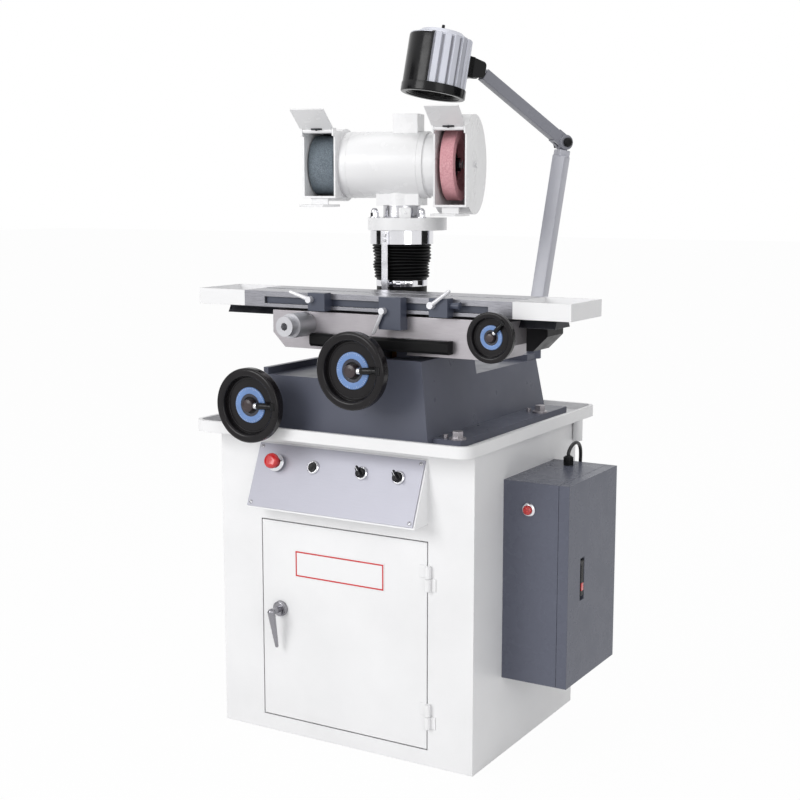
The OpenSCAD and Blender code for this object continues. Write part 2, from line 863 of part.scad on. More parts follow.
module base_casting() {
  low_left = base_x - base_w / 2 + low_h * taper_x_share;
  low_depth = base_d - 2 * low_h * taper_y_share;
  ped_front = -base_d / 2 + ped_h * taper_y_share;
  color("slategray") {
    difference() {
      union() {
        taper_box(0, low_h);
        intersection() {
          taper_box(0, ped_h);
          ped_corner(0);
        }
        translate([base_x, 0, floor_z])
          block(base_w + 2 * flange_over, base_d - 2 * flange_in, flange_t);
        translate([low_left, -low_depth / 2, low_z]) cube([lip_t, low_depth, lip_h]);
        translate([ped_x, ped_back, 0]) to_front() linear_extrude(ped_back - dove_front)
          polygon([[-dove_half(ped_z), ped_z - over], [dove_half(ped_z), ped_z - over],
            [dove_half(ped_z), ped_z], [dove_half(dove_z), dove_z],
            [-dove_half(dove_z), dove_z], [-dove_half(ped_z), ped_z]]);
        translate([elev_x, elev_boss_y, elev_z]) to_back()
          cylinder(d = boss_d, h = wall - base_d / 2 - elev_boss_y);
        translate([ped_x, cross_boss_y, cross_z]) to_back()
          cylinder(d = boss_d, h = wall + ped_front - cross_boss_y);
      }
      translate([0, 0, -over]) taper_box(wall, low_h - wall + over);
      intersection() {
        taper_box(wall, ped_h - wall);
        ped_corner(wall);
      }
      translate([ped_x, (ped_front + ped_back) / 2, ped_z - wall - over])
        block(slot_w, ped_back - ped_front - 2 * slot_end, dove_h + wall + 2 * over);
      translate([col_x, col_y, low_z - wall - over])
        cylinder(d = column_d + 2 * tube_room, h = wall + 2 * over);
      translate([elev_x, elev_boss_y - over, elev_z]) to_back()
        cylinder(d = shaft_d + 2 * run_fit, h = 2 * boss_d + 2 * over);
      translate([ped_x, cross_boss_y - over, cross_z]) to_back()
        cylinder(d = shaft_d + 2 * run_fit, h = ped_back - cross_boss_y + 2 * over);
    }
    // Web under the elevating screw and rib behind the elevation shaft
    difference() {
      translate([base_x, col_y, floor_z]) block(base_w - wall, web_w, web_h);
      translate([col_x, col_y, floor_z - over])
        cylinder(d = screw_journal_d + 2 * run_fit, h = web_h + 2 * over);
    }
    difference() {
      translate([base_x - base_w / 2 + wall, elev_rib_y, elev_z - elev_rib_half])
        cube([elev_x + elev_rib_half - base_x + base_w / 2 - wall, elev_rib_t, 2 * elev_rib_half]);
      translate([elev_x, elev_rib_y - over, elev_z]) to_back()
        cylinder(d = shaft_d + 2 * run_fit, h = elev_rib_t + 2 * over);
    }
  }
}

// Hold-down bolts with washers, and dowels beside them
module base_bolts() {
  color("silver") for (s = [-1, 1], y = bolt_y) {
    translate([base_x + s * (base_w / 2 + flange_over - bolt_in), y, floor_z + flange_t]) {
      cylinder(d = bolt_washer_d, h = bolt_washer_t);
      translate([0, 0, bolt_washer_t]) cylinder(d = bolt_hex, h = bolt_head, $fn = 6);
    }
    translate([base_x + s * (base_w / 2 + flange_over - dowel_in), y, floor_z + flange_t])
      cylinder(d = dowel_d, h = dowel_h);
  }
}

// Fixed sleeve that guides the column, with a lug for the guide bar
module column_sleeve() {
  bar_y = -collar_d / 2 - bar_t;
  color("slategray") translate([col_x, col_y, 0]) difference() {
    union() {
      translate([0, 0, low_z]) cylinder(d = sleeve_flange_d, h = sleeve_flange_t);
      translate([0, 0, low_z]) cylinder(d = sleeve_d, h = bellows_z - low_z);
      translate([0, 0, low_z]) cylinder(d = sleeve_neck_d, h = sleeve_top - low_z);
      translate([-bar_lug_w / 2, bar_y - bar_lug_wall, bellows_z - bar_lug_h])
        cube([bar_lug_w, bar_t + bar_lug_wall + collar_d / 2 - sleeve_neck_d / 2, bar_lug_h]);
    }
    translate([0, 0, low_z - over])
      cylinder(d = column_d + 2 * run_fit, h = sleeve_top - low_z + 2 * over);
    translate([-bar_w / 2 - way_gap, bar_y - way_gap, bellows_z - bar_lug_h - over])
      cube([bar_w + 2 * way_gap, bar_t + 2 * way_gap, bar_lug_h + 2 * over]);
  }
}

module elevating_screw() {
  web_top = floor_z + web_h + way_gap;
  tip_r = col_x - elev_x - worm_r - part_gap;
  color("silver") translate([col_x, col_y, 0]) {
    translate([0, 0, floor_z + way_gap]) cylinder(d = screw_journal_d, h = web_h + 2 * way_gap);
    translate([0, 0, web_top]) cylinder(d = screw_lift_d, h = sleeve_top + screw_past - web_top);
    translate([0, 0, gear_z]) linear_extrude(gear_t) gear_outline(tip_r, gear_tooth, gear_teeth);
  }
}

// Shaft end with a collar behind the handwheel and a nut in front of it
module wheel_shaft(d, wheel, back_y, boss_y, end_y) {
  nut_z = wheel * (wheel_back_share + wheel_web_share);
  translate([0, back_y - nut_z, 0]) to_back() cylinder(d = d, h = end_y - back_y + nut_z);
  translate([0, back_y - nut_z, 0]) to_front()
    cylinder(d = wheel * 2 * hub_nut_share, h = wheel * hub_nut_share);
  translate([0, back_y - wheel * wheel_back_share, 0]) to_back()
    cylinder(d = wheel * 2 * wheel_hub_share, h = boss_y - way_gap - back_y + wheel * wheel_back_share);
}

module elevation_shaft() {
  color("silver") translate([elev_x, 0, elev_z]) {
    wheel_shaft(shaft_d, wheel_d, elev_wheel_y, elev_boss_y, elev_rib_y + elev_rib_t);
    translate([0, col_y - worm_half, 0]) to_back() cylinder(r = worm_r, h = 2 * worm_half);
  }
}

// Dished handwheel, back of the rim at z = 0, front towards +Z, with a notch for its folding handle
module handwheel(d, bore, turn) {
  rim = d * wheel_rim_share;
  deep = d * wheel_depth_share;
  back = d * wheel_back_share;
  web = d * wheel_web_share;
  edge = rim / 3;
  pivot = d * grip_pivot_share;
  grip = d * grip_d_share;
  rise = d * grip_rise_share;
  notch = d * notch_share;
  rotate([0, 0, turn]) difference() {
    rotate_extrude($fn = 96) {
      translate([d / 2 - rim + edge, 0]) square([rim - 2 * edge, deep]);
      translate([d / 2 - rim, edge]) square([rim, deep - 2 * edge]);
      for (x = [d / 2 - rim + edge, d / 2 - edge], y = [edge, deep - edge]) translate([x, y]) circle(edge);
      translate([0, back]) square([d / 2 - rim + edge, web]);
      translate([d * dial_in_share, back + web])
        square([d * (dial_out_share - dial_in_share), d * dial_t_share]);
    }
    translate([0, 0, -over]) cylinder(d = bore, h = deep + 2 * over);
    translate([pivot - grip, -notch / 2, rise - grip / 2 - way_gap])
      cube([grip * 3 / 2 + way_gap, notch, deep]);
    translate([pivot, -notch, rise]) to_back() cylinder(d = d * pin_share + 2 * run_fit, h = 2 * notch);
  }
}

// Folding handle of a handwheel, lying inwards along the dish
module fold_handle(d, turn) {
  pivot = d * grip_pivot_share;
  grip = d * grip_d_share;
  rise = d * grip_rise_share;
  notch = d * notch_share;
  reach = pivot - d * grip_tip_share;
  rotate([0, 0, turn]) translate([pivot, 0, rise]) {
    translate([0, -notch / 2 + way_gap, 0]) to_back() cylinder(d = grip, h = notch - 2 * way_gap);
    translate([0, -notch + way_gap, 0]) to_back()
      cylinder(d = d * pin_share, h = 2 * notch - 2 * way_gap);
    to_left() cylinder(d1 = grip * grip_root_share, d2 = grip, h = reach);
    translate([-reach, 0, 0]) sphere(d = grip);
  }
}
module at_elevation() { translate([elev_x, elev_wheel_y, elev_z]) to_front() children(); }
module at_cross() { translate([ped_x, cross_wheel_y, cross_z]) to_front() children(); }
module at_table_wheel() { translate([pinion_x, small_wheel_y, pinion_z]) to_front() children(); }
module elevation_handwheel() {
  color("black") at_elevation() handwheel(wheel_d, shaft_d + 2 * run_fit, elev_handle_turn);
}
module elevation_handle() { color("dimgray") at_elevation() fold_handle(wheel_d, elev_handle_turn); }
module cross_handwheel() {
  color("black") at_cross() handwheel(wheel_d, shaft_d + 2 * run_fit, cross_handle_turn);
}
module cross_handle() { color("dimgray") at_cross() fold_handle(wheel_d, cross_handle_turn); }
module table_handwheel() {
  color("black") at_table_wheel()
    handwheel(small_wheel_d, small_shaft_d + 2 * run_fit, table_handle_turn);
}
module table_handle() { color("dimgray") at_table_wheel() fold_handle(small_wheel_d, table_handle_turn); }
module cross_screw() {
  color("silver") translate([ped_x, 0, cross_z])
    wheel_shaft(shaft_d, wheel_d, cross_wheel_y, cross_boss_y, ped_back);
}

// Saddle: front outline with chamfered lower corners, over a depth in Y
module saddle_outline(l) {
  polygon([[-l / 2, saddle_top], [-l / 2, saddle_z + saddle_chamfer], [-l / 2 + saddle_chamfer, saddle_z],
    [l / 2 - saddle_chamfer, saddle_z], [l / 2, saddle_z + saddle_chamfer], [l / 2, saddle_top]]);
}

// Half width of the long slide's dovetail at height z
function slide_half(z) = slide_w / 2 - slide_under * (z - slide_z) / slide_floor;

module saddle() {
  roof = dove_z + way_gap;
  low = saddle_z - over;
  color("gray") difference() {
    union() {
      translate([saddle_x, saddle_front + beam_d, 0]) to_front() linear_extrude(beam_d)
        saddle_outline(saddle_l);
      translate([saddle_x, saddle_front + block_d, 0]) to_front() linear_extrude(block_d - beam_d)
        saddle_outline(block_l);
      translate([pinion_x, saddle_front, pinion_z]) to_front()
        cylinder(d = saddle_boss_d, h = saddle_front - saddle_boss_y);
    }
    translate([ped_x, saddle_front + block_d + over, 0]) to_front() linear_extrude(block_d + 2 * over)
      polygon([[-dove_half(low) - way_gap, low], [dove_half(low) + way_gap, low],
        [dove_half(roof) + way_gap, roof], [-dove_half(roof) - way_gap, roof]]);
    translate([saddle_x - saddle_l / 2 - over, slide_y, 0]) rotate([90, 0, 90])
      linear_extrude(saddle_l + 2 * over)
        polygon([[-slide_w / 2 - way_gap, slide_z - way_gap], [slide_w / 2 + way_gap, slide_z - way_gap],
          [slide_half(saddle_top + over) + way_gap, saddle_top + over],
          [-slide_half(saddle_top + over) - way_gap, saddle_top + over]]);
    for (x = [pinion_x, knob_x]) translate([x, 0, pinion_z]) {
      translate([0, saddle_boss_y - over, 0]) to_back()
        cylinder(d = small_shaft_d + 2 * run_fit, h = slide_y + pinion_w - saddle_boss_y);
      translate([0, slide_y - pinion_w / 2 - part_gap, 0]) to_back()
        cylinder(r = pinion_r + part_gap, h = pinion_w + 2 * part_gap);
    }
  }
}

module way_cover() {
  bevel = cover_t / 4;
  color("black") translate([cover_x - cover_l / 2, saddle_front, saddle_z + cover_up]) rotate([90, 0, 90])
    linear_extrude(cover_l)
      polygon([[0, 0], [-cover_t + bevel, 0], [-cover_t, bevel], [-cover_t, cover_h - bevel],
        [-cover_t + bevel, cover_h], [0, cover_h]]);
}

// Cover box on the saddle's right end, chamfered like the saddle
module end_cover() {
  low = slide_z - end_cover_h;
  color("black") translate([saddle_x + saddle_l / 2, slide_y + end_cover_d, 0]) to_front()
    linear_extrude(end_cover_d)
      polygon([[0, low], [end_cover_l - saddle_chamfer, low], [end_cover_l, low + saddle_chamfer],
        [end_cover_l, slide_z - 2 * part_gap], [0, slide_z - 2 * part_gap]]);
}

module cross_nut() {
  bottom = cross_z - nut_w / 2;
  color("goldenrod") difference() {
    translate([ped_x, nut_y, bottom]) block(nut_w, nut_l, dove_z + way_gap - bottom);
    translate([ped_x, nut_y - nut_l / 2 - over, cross_z]) to_back()
      cylinder(d = shaft_d + 2 * run_fit, h = nut_l + 2 * over);
  }
}

// Stops on the table's front and the fixed stop on the saddle
module center_stop() {
  left = center_stop_x - center_stop_w / 2;
  back = table_front - stop_gap;
  low = table_z - center_stop_low;
  color("slategray") {
    difference() {
      translate([left, back - stop_t, low]) cube([center_stop_w, stop_t, table_top - low]);
      lever_bore(center_stop_x, center_lever_z, back - stop_t);
    }
    translate([left, back - over, low])
      cube([center_stop_w, saddle_front - back + over, center_stop_low - slide_h / 2]);
  }
}

// Clamp lever on a stop's front face, its pin in a bore of the stop
module lever(x, z, front, turn) {
  color("silver") translate([x - lever_in, front, z]) {
    translate([0, -way_gap, 0]) to_front() cylinder(d = lever_stud_d, h = lever_stud_l);
    translate([0, -way_gap - over, 0]) to_back() cylinder(d = lever_pin_d, h = lever_pin_l + over);
    translate([0, -way_gap - lever_stud_l / 2, 0]) rotate([0, -turn, 0]) {
      to_right() cylinder(d1 = lever_d, d2 = lever_tip_d, h = lever_l);
      translate([lever_l, 0, 0]) sphere(d = lever_tip_d);
    }
  }
}
module lever_bore(x, z, front) {
  translate([x - lever_in, front - over, z]) to_back()
    cylinder(d = lever_pin_d + 2 * run_fit, h = lever_pin_l + over);
}
module left_lever() { lever(left_stop_x, lever_z, table_front - stop_t, left_lever_turn); }
module right_lever() { lever(right_stop_x, lever_z, table_front - stop_t, right_lever_turn); }
module center_lever() {
  lever(center_stop_x, center_lever_z, table_front - stop_gap - stop_t, center_lever_turn);
}

// Long slide under the table, with a toothed rack along its underside
module long_slide() {
  l = table_l + 2 * slide_over;
  pitch = 2 * PI * (pinion_r - pinion_tooth / 2) / pinion_teeth;
  teeth = floor(rack_l / pitch);
  rack = [for (i = [0 : teeth - 1], p = rack_shares) [pitch * (i + p[0]), pinion_tooth * p[1]]];
  color("dimgray") difference() {
    translate([table_x - l / 2, slide_y, 0]) rotate([90, 0, 90]) linear_extrude(l)
      polygon([[-slide_w / 2, slide_z], [slide_w / 2, slide_z], [slide_half(saddle_top), saddle_top],
        [slide_half(saddle_top), slide_top], [-slide_half(saddle_top), slide_top],
        [-slide_half(saddle_top), saddle_top]]);
    translate([table_x - teeth * pitch / 2, slide_y + rack_w / 2, slide_z]) to_front()
      linear_extrude(rack_w) polygon(concat([[0, -over], [0, 0]], rack, [[teeth * pitch, -over]]));
  }
}

module table() {
  color("gray") difference() {
    translate([table_x, table_front + table_w / 2, table_z]) block(table_l, table_w, table_t);
    translate([table_x, table_front + table_w / 2, table_top - tslot_deep])
      block(table_l + 2 * over, tslot_w, tslot_deep + over);
    translate([table_x, table_front + table_w / 2, table_top - tslot_deep])
      block(table_l + 2 * over, tslot_head, tslot_deep - tslot_neck);
    translate([table_x - front_slot_l / 2, table_front - over, table_top - front_slot_up - front_slot_h])
      cube([front_slot_l, front_slot_deep + over, front_slot_h]);
  }
}

module end_trays() {
  color("white") for (s = [-1, 1])
    translate([table_x + s * (table_l + end_tray_l) / 2, table_front + table_w / 2, table_z]) difference() {
      block(end_tray_l, table_w, table_t);
      translate([0, 0, tray_wall])
        block(end_tray_l - 2 * tray_wall, table_w - 2 * tray_wall, table_t);
    }
}

module table_stops() {
  color("slategray") {
    for (x = [left_stop_x, right_stop_x]) {
      difference() {
        translate([x - stop_w / 2, table_front - stop_t, table_z - stop_low]) cube([stop_w, stop_t, stop_h]);
        lever_bore(x, lever_z, table_front - stop_t);
      }
      translate([x - stop_w / 2, table_front - over, table_top - front_slot_up - front_slot_h + way_gap])
        cube([stop_w, front_slot_deep, front_slot_h - 2 * way_gap]);
    }
    translate([right_stop_x + stop_w / 2, table_front - stop_t / 2, lever_z]) to_right()
      cylinder(d1 = stop_knob_d * knob_root_share, d2 = stop_knob_d, h = stop_knob_l);
  }
}

module pinion_gear() {
  translate([0, slide_y + pinion_w / 2, 0]) to_front() linear_extrude(pinion_w)
    rotate([0, 0, 90]) gear_outline(pinion_r, pinion_tooth, pinion_teeth);
}

module pinion_shaft() {
  color("silver") translate([pinion_x, 0, pinion_z]) {
    wheel_shaft(small_shaft_d, small_wheel_d, small_wheel_y, saddle_boss_y, slide_y + pinion_past);
    pinion_gear();
  }
}

// Plain stepped knob on the second pinion
module feed_knob() {
  color("silver") translate([knob_x, 0, pinion_z]) {
    difference() {
      union() {
        translate([0, saddle_front - way_gap, 0]) to_front() cylinder(d = feed_body_d, h = feed_body_l);
        translate([0, saddle_front - way_gap - feed_body_l, 0]) to_front()
          cylinder(d = feed_ring_d, h = feed_ring_l);
      }
      translate([0, saddle_front - way_gap - feed_body_l - feed_ring_l + feed_hole_deep, 0]) to_front()
        cylinder(d = feed_hole_d, h = feed_hole_deep + over);
    }
    translate([0, saddle_front - over, 0]) to_back()
      cylinder(d = small_shaft_d, h = slide_y + pinion_past - saddle_front + over);
    pinion_gear();
  }
}

// Column
module column_tube() {
  bottom = low_z + tube_low;
  color("silver") translate([col_x, col_y, 0]) difference() {
    union() {
      translate([0, 0, bottom]) cylinder(d = column_d, h = collar_z - bottom);
      translate([0, 0, collar_z]) cylinder(d = collar_d, h = collar_h);
      translate([0, 0, collar_z]) cylinder(d = pivot_d, h = collar_h + pivot_h);
    }
    translate([0, 0, bottom - over])
      cylinder(d = screw_lift_d + 2 * run_fit, h = tube_nut_h + 2 * over);
    translate([0, 0, bottom + tube_nut_h])
      cylinder(d = tube_bore_d, h = collar_z - bottom - tube_nut_h);
  }
}

module guide_bar() {
  color("silver") translate([col_x, col_y - collar_d / 2, 0]) {
    translate([-bar_w / 2, -bar_t, bellows_z - bar_low])
      cube([bar_w, bar_t, collar_z + collar_h - bar_screw_t - bellows_z + bar_low]);
    for (i = [0, 1]) translate([0, -bar_t, collar_z + collar_h - bar_screw_z - i * bar_screw_step])
      to_front() cylinder(d = bar_screw_d, h = bar_screw_t);
  }
}

// Ribbed bellows from a plain cuff round the sleeve's neck up to the collar
module bellows() {
  step = (bellows_h - sleeve_step - 2 * way_gap) / (2 * rib_n);
  r_out = bellows_d / 2;
  r_in = r_out - bellows_fold;
  folds = [for (i = [0 : 2 * rib_n])
    [(i % 2 == 0 ? r_in : r_out) + bellows_flare * i / (2 * rib_n), sleeve_step + i * step]];
  outer = concat([[r_in, 0]], folds);
  inner = [for (i = [len(outer) - 1 : -1 : 0]) outer[i] - [bellows_wall, 0]];
  color("black") translate([col_x, col_y, bellows_z + way_gap]) rotate_extrude($fn = 64)
    polygon(concat(outer, inner));
}

// Wheelhead
module swivel_base() {
  foot_top = axis_z - motor_d / 3;
  color("white") difference() {
    on_head() {
      for (x = [0, swivel_past]) translate([x, 0, swivel_z + way_gap]) cylinder(d = swivel_d, h = swivel_t);
      translate([swivel_past / 2, 0, swivel_z + way_gap]) block(swivel_past, swivel_d, swivel_t);
      translate([0, 0, swivel_z + swivel_t]) cylinder(d = foot_waist, h = foot_top - swivel_z - swivel_t);
      translate([0, 0, axis_z - motor_d / 2 - foot_pad]) block(foot_w, foot_d, foot_pad + motor_d / 6);
    }
    on_spindle() translate([motor_l, 0, 0]) to_right() cylinder(d = motor_d, h = adapter_r - motor_l);
    on_head() translate([0, 0, swivel_z - over])
      cylinder(d = pivot_d + 2 * run_fit, h = pivot_h + over + part_gap);
  }
}

module motor_housing() {
  color("white") on_spindle() translate([motor_l, 0, 0]) to_right() difference() {
    rotate_extrude($fn = 96) {
      square([motor_d / 2 - motor_round, motor_r - motor_l]);
      translate([0, motor_round]) square([motor_d / 2, motor_r - motor_l - motor_round]);
      translate([motor_d / 2 - motor_round, motor_round]) circle(motor_round);
      square([adapter_d / 2, adapter_r - motor_l]);
    }
    translate([0, 0, motor_wall])
      cylinder(d = motor_d - 2 * motor_wall - 2 * motor_wall, h = motor_r - motor_l - 2 * motor_wall);
    translate([0, 0, -over]) cylinder(d = spindle_d + 2 * run_fit, h = adapter_r - motor_l + 2 * over);
  }
}

module capacitor_box() {
  color("white") difference() {
    on_spindle() translate([cap_x, 0, 0]) block(cap_l, cap_w, motor_d / 2 + cap_h);
    on_spindle() translate([motor_l, 0, 0]) to_right() cylinder(d = motor_d, h = adapter_r - motor_l);
  }
}

// Wheel guard: a drum from x0 over a width w, cut flat at a square mouth with hinge lugs and a rest plate
module guard(x0, w, r, mouth_h, drop, wall_side) {
  low = -mouth_h / 2 - drop;
  top = mouth_h / 2 - drop;
  hole_x = wall_side > 0 ? x0 + w - guard_wall : x0;
  difference() {
    union() {
      difference() {
        translate([x0, 0, 0]) to_right() cylinder(r = r, h = w, $fn = 96);
        translate([x0 - over, -2 * r, -r]) cube([w + 2 * over, 2 * r - mouth_y, 2 * r]);
      }
      translate([x0, -mouth_y, low]) cube([w, mouth_y, mouth_h]);
      for (x = [x0, x0 + w - guard_wall])
        translate([x, -mouth_y - lug_out, top - lug_h])
          cube([guard_wall, lug_out + lug_in, lug_h + shield_pin_d]);
      translate([x0 + w / 2, 0, low - rest_t - rest_bend]) rest_plate(w);
      translate([x0 + w / 4, -mouth_y + rest_t, low - rest_bend - rest_t])
        cube([w / 2, rest_t, rest_bend + 2 * rest_t]);
    }
    translate([x0 + guard_wall, 0, 0]) to_right()
      cylinder(r = r - guard_wall, h = w - 2 * guard_wall, $fn = 96);
    translate([x0 + guard_wall, -mouth_y - over, low + mouth_wall])
      cube([w - 2 * guard_wall, mouth_y + over, mouth_h - 2 * mouth_wall]);
    translate([hole_x - over, 0, 0]) to_right() cylinder(d = guard_hole_d, h = guard_wall + 2 * over);
    translate([x0 - over, -mouth_y - shield_pin_d, top]) to_right()
      cylinder(d = shield_pin_d + 2 * run_fit, h = w + 2 * over);
  }
}

// Rest plate with clipped front corners
module rest_plate(w) {
  clip = w / 5;
  half = w / 2;
  translate([0, -mouth_y, 0]) linear_extrude(rest_t)
    polygon([[-half, rest_in], [half, rest_in], [half, clip - rest_out], [half - clip, -rest_out],
      [clip - half, -rest_out], [-half, clip - rest_out]]);
}

module left_guard() {
  color("white") on_spindle() guard(motor_l - left_guard_w, left_guard_w, left_guard_r, left_mouth_h, 0, 1);
}
module right_guard() {
  color("white") on_spindle() {
    guard(adapter_r, right_guard_w, right_guard_r, right_mouth_h, right_mouth_drop, -1);
    translate([adapter_r + right_guard_w, 0, 0]) to_right()
      cylinder(d = guard_cap_d, h = guard_cap_d / 3);
  }
}

// Tilting spark shield on the top edge of a guard's mouth
module shield(x0, w, top) {
  room = guard_wall + way_gap;
  translate([x0, -mouth_y - shield_pin_d, top]) {
    to_right() cylinder(d = shield_pin_d, h = w);
    translate([room, 0, 0]) to_right() cylinder(d = 2 * shield_pin_d - 2 * way_gap, h = w - 2 * room);
    rotate([shield_tilt, 0, 0]) {
      translate([room + over, -shield_t / 2, 0])
        cube([w - 2 * room - 2 * over, shield_t, shield_foot + over]);
      translate([0, -shield_t / 2, shield_foot]) cube([w, shield_t, shield_l - shield_foot]);
    }
  }
}
module left_shield() {
  color("lightgray") on_spindle() shield(motor_l - left_guard_w, left_guard_w, left_mouth_h / 2);
}
module right_shield() {
  color("lightgray") on_spindle() shield(adapter_r, right_guard_w, right_mouth_h / 2 - right_mouth_drop);
}

// Spindle with rotor; shoulders seat the inner wheel flanges
module spindle() {
  color("silver") on_spindle() to_right() {
    translate([0, 0, grey_x0() - spindle_past])
      cylinder(d = spindle_d, h = pink_x1() + 2 * spindle_past - grey_x0());
    translate([0, 0, motor_l + 2 * motor_wall])
      cylinder(d = rotor_d, h = motor_r - motor_l - 4 * motor_wall);
  }
}
function grey_x0() = motor_l - guard_wall - wheel_gap - flange_w - grey_w;
function grey_floor_x() = grey_x0() + grey_recess;
function pink_x0() = adapter_r + guard_wall + flange_w + 2 * wheel_gap;
function pink_x1() = pink_x0() + pink_w;
module grey_wheel() {
  color("slategray") on_spindle() to_right() translate([0, 0, grey_x0()]) difference() {
    cylinder(d = grey_d, h = grey_w, $fn = 96);
    translate([0, 0, -over]) cylinder(d = grey_d * recess_share, h = grey_recess + over);
    translate([0, 0, -over]) cylinder(d = spindle_d + 2 * run_fit, h = grey_w + 2 * over);
  }
}
module pink_wheel() {
  color("pink") on_spindle() to_right() translate([0, 0, pink_x0()]) difference() {
    cylinder(d = pink_d, h = pink_w, $fn = 96);
    translate([0, 0, cup_floor]) cylinder(d = pink_d - 2 * cup_wall, h = pink_w);
    translate([0, 0, -over]) cylinder(d = spindle_d + 2 * run_fit, h = pink_w + 2 * over);
  }
}

// Clamping flanges on both sides of each wheel's web, and the spindle nuts
module wheel_flanges() {
  color("dimgray") on_spindle() to_right() {
    for (x = [grey_x0() + grey_w, grey_floor_x() - flange_w, pink_x0() - flange_w, pink_x0() + cup_floor])
      translate([0, 0, x]) ring(flange_d, spindle_d + 2 * run_fit, flange_w);
    for (x = [grey_floor_x() - flange_w - spindle_nut_w, pink_x0() + cup_floor + flange_w])
      translate([0, 0, x]) difference() {
        cylinder(d = spindle_nut_d, h = spindle_nut_w, $fn = 6);
        translate([0, 0, -over]) cylinder(d = spindle_d + 2 * run_fit, h = spindle_nut_w + 2 * over);
      }
  }
}

// Lamp, in its own upright plane: x towards the head
module on_lamp() { translate([lamp_x, lamp_y, low_z + lamp_plate_t]) rotate([0, 0, lamp_turn]) children(); }
module lamp_bracket() {
  color("slategray") {
    translate([lamp_x - lamp_plate_w / 2 - lamp_shift, lamp_y - lamp_plate_d + lamp_post_d / 2, low_z])
      cube([lamp_plate_w, lamp_plate_d, lamp_plate_t]);
    translate([lamp_x, lamp_y, low_z]) cylinder(d = lamp_post_d, h = lamp_plate_t + lamp_post_h);
    translate([lamp_x, lamp_y, low_z])
      cylinder(d = lamp_spigot_d, h = lamp_plate_t + lamp_post_h + lamp_spigot_h);
  }
}

// Square tube along +Z
module arm_tube(l) {
  difference() {
    block(arm_w, arm_w, l);
    translate([0, 0, -over]) block(arm_w - 2 * arm_wall, arm_w - 2 * arm_wall, l + 2 * over);
  }
}
// Eye in the lamp's plane, centred on the pivot, with a tongue back into the tube's end
module eye(t, bore) {
  tongue = elbow_d * tongue_share;
  translate([0, t / 2, 0]) to_front() ring(elbow_d, bore, t);
  translate([0, 0, -elbow_d - t]) block(tongue, t, elbow_d + t - tongue / 2);
}
// Fork of two cheeks, a pin and a clamping knob round a pivot
module fork(stem) {
  pin_l = elbow_t + 2 * way_gap + 2 * elbow_t;
  for (s = [-1, 1]) translate([0, s * (elbow_t + way_gap), 0]) {
    translate([0, elbow_t / 2, 0]) to_front() cylinder(d = elbow_d, h = elbow_t);
    translate([-elbow_d / 2, -elbow_t / 2, 0]) cube([elbow_d, elbow_t, stem]);
  }
  translate([0, pin_l / 2, 0]) to_front() cylinder(d = elbow_pin_d, h = pin_l);
  translate([0, -pin_l / 2, 0]) to_front() cylinder(d = lamp_knob_d, h = lamp_knob_t);
}

module lamp_lower_arm() {
  hub_h = lamp_spigot_h + elbow_t;
  color("silver") on_lamp() translate([0, 0, lamp_post_h + way_gap]) {
    difference() {
      cylinder(d = lamp_post_d, h = hub_h);
      translate([0, 0, -over]) cylinder(d = lamp_spigot_d + 2 * run_fit, h = lamp_spigot_h + over);
    }
    translate([0, 0, hub_h]) rotate([0, -low_lean, 0]) {
      translate([0, 0, -elbow_t / 2]) arm_tube(lamp_low_l - elbow_d);
      translate([0, 0, lamp_low_l]) eye(elbow_t, elbow_pin_d + 2 * run_fit);
    }
  }
}

// Frame at the elbow, z along the upper arm, and frame at the lamp's knuckle
module at_elbow() {
  on_lamp() translate([0, 0, lamp_post_h + way_gap + lamp_spigot_h + elbow_t]) rotate([0, -low_lean, 0])
    translate([0, 0, lamp_low_l]) rotate([0, low_lean + 90 - up_rise, 0]) children();
}
module at_knuckle() {
  at_elbow() translate([0, 0, lamp_up_l]) rotate([0, up_rise - 90 - lamp_tilt, 0]) children();
}

module lamp_upper_arm() {
  color("silver") at_elbow() {
    fork(elbow_d);
    translate([0, 0, elbow_d - elbow_t]) block(elbow_d, 3 * elbow_t + 2 * way_gap, elbow_t);
    translate([0, 0, elbow_d]) arm_tube(lamp_up_l - 2 * elbow_d);
    translate([0, 0, lamp_up_l]) eye(elbow_t, elbow_pin_d + 2 * run_fit);
  }
}

// Ribbed lamp head, plain at its front, its shade open below
module lamp_head() {
  r = lamp_d / 2;
  bar_l = lamp_reach - r - elbow_d + flute_deep + over;
  color("silver") at_knuckle() {
    rotate([0, 90, 0]) fork(elbow_d);
    translate([elbow_d, 0, 0]) block_x(bar_l, arm_w + elbow_t, arm_w);
    translate([lamp_reach, 0, -lamp_drop]) difference() {
      union() {
        translate([0, 0, lamp_ring_h]) linear_extrude(lamp_h - lamp_ring_h)
          polygon([for (i = [0 : lamp_flutes - 1], p = flute_shares)
            let (a = 360 * (i + p[0]) / lamp_flutes, q = cos(a) > cos(lamp_plain) ? r : r - flute_deep * p[1])
              [q * cos(a), q * sin(a)]]);
        cylinder(r = r + lamp_ring_over, h = lamp_ring_h);
        translate([0, 0, lamp_h]) cylinder(r1 = r - 2 * flute_deep, r2 = r - 2 * lamp_cap_h, h = lamp_cap_h);
        translate([0, 0, lamp_h + lamp_cap_h]) cylinder(d = toggle_d, h = toggle_h);
      }
      translate([0, 0, -over]) cylinder(r = r - flute_deep - lamp_wall, h = lamp_h - lamp_cap_h + over);
    }
  }
}
// Bar along +X, centred in Y and Z
module block_x(l, w, h) { translate([0, -w / 2, -h / 2]) cube([l, w, h]); }

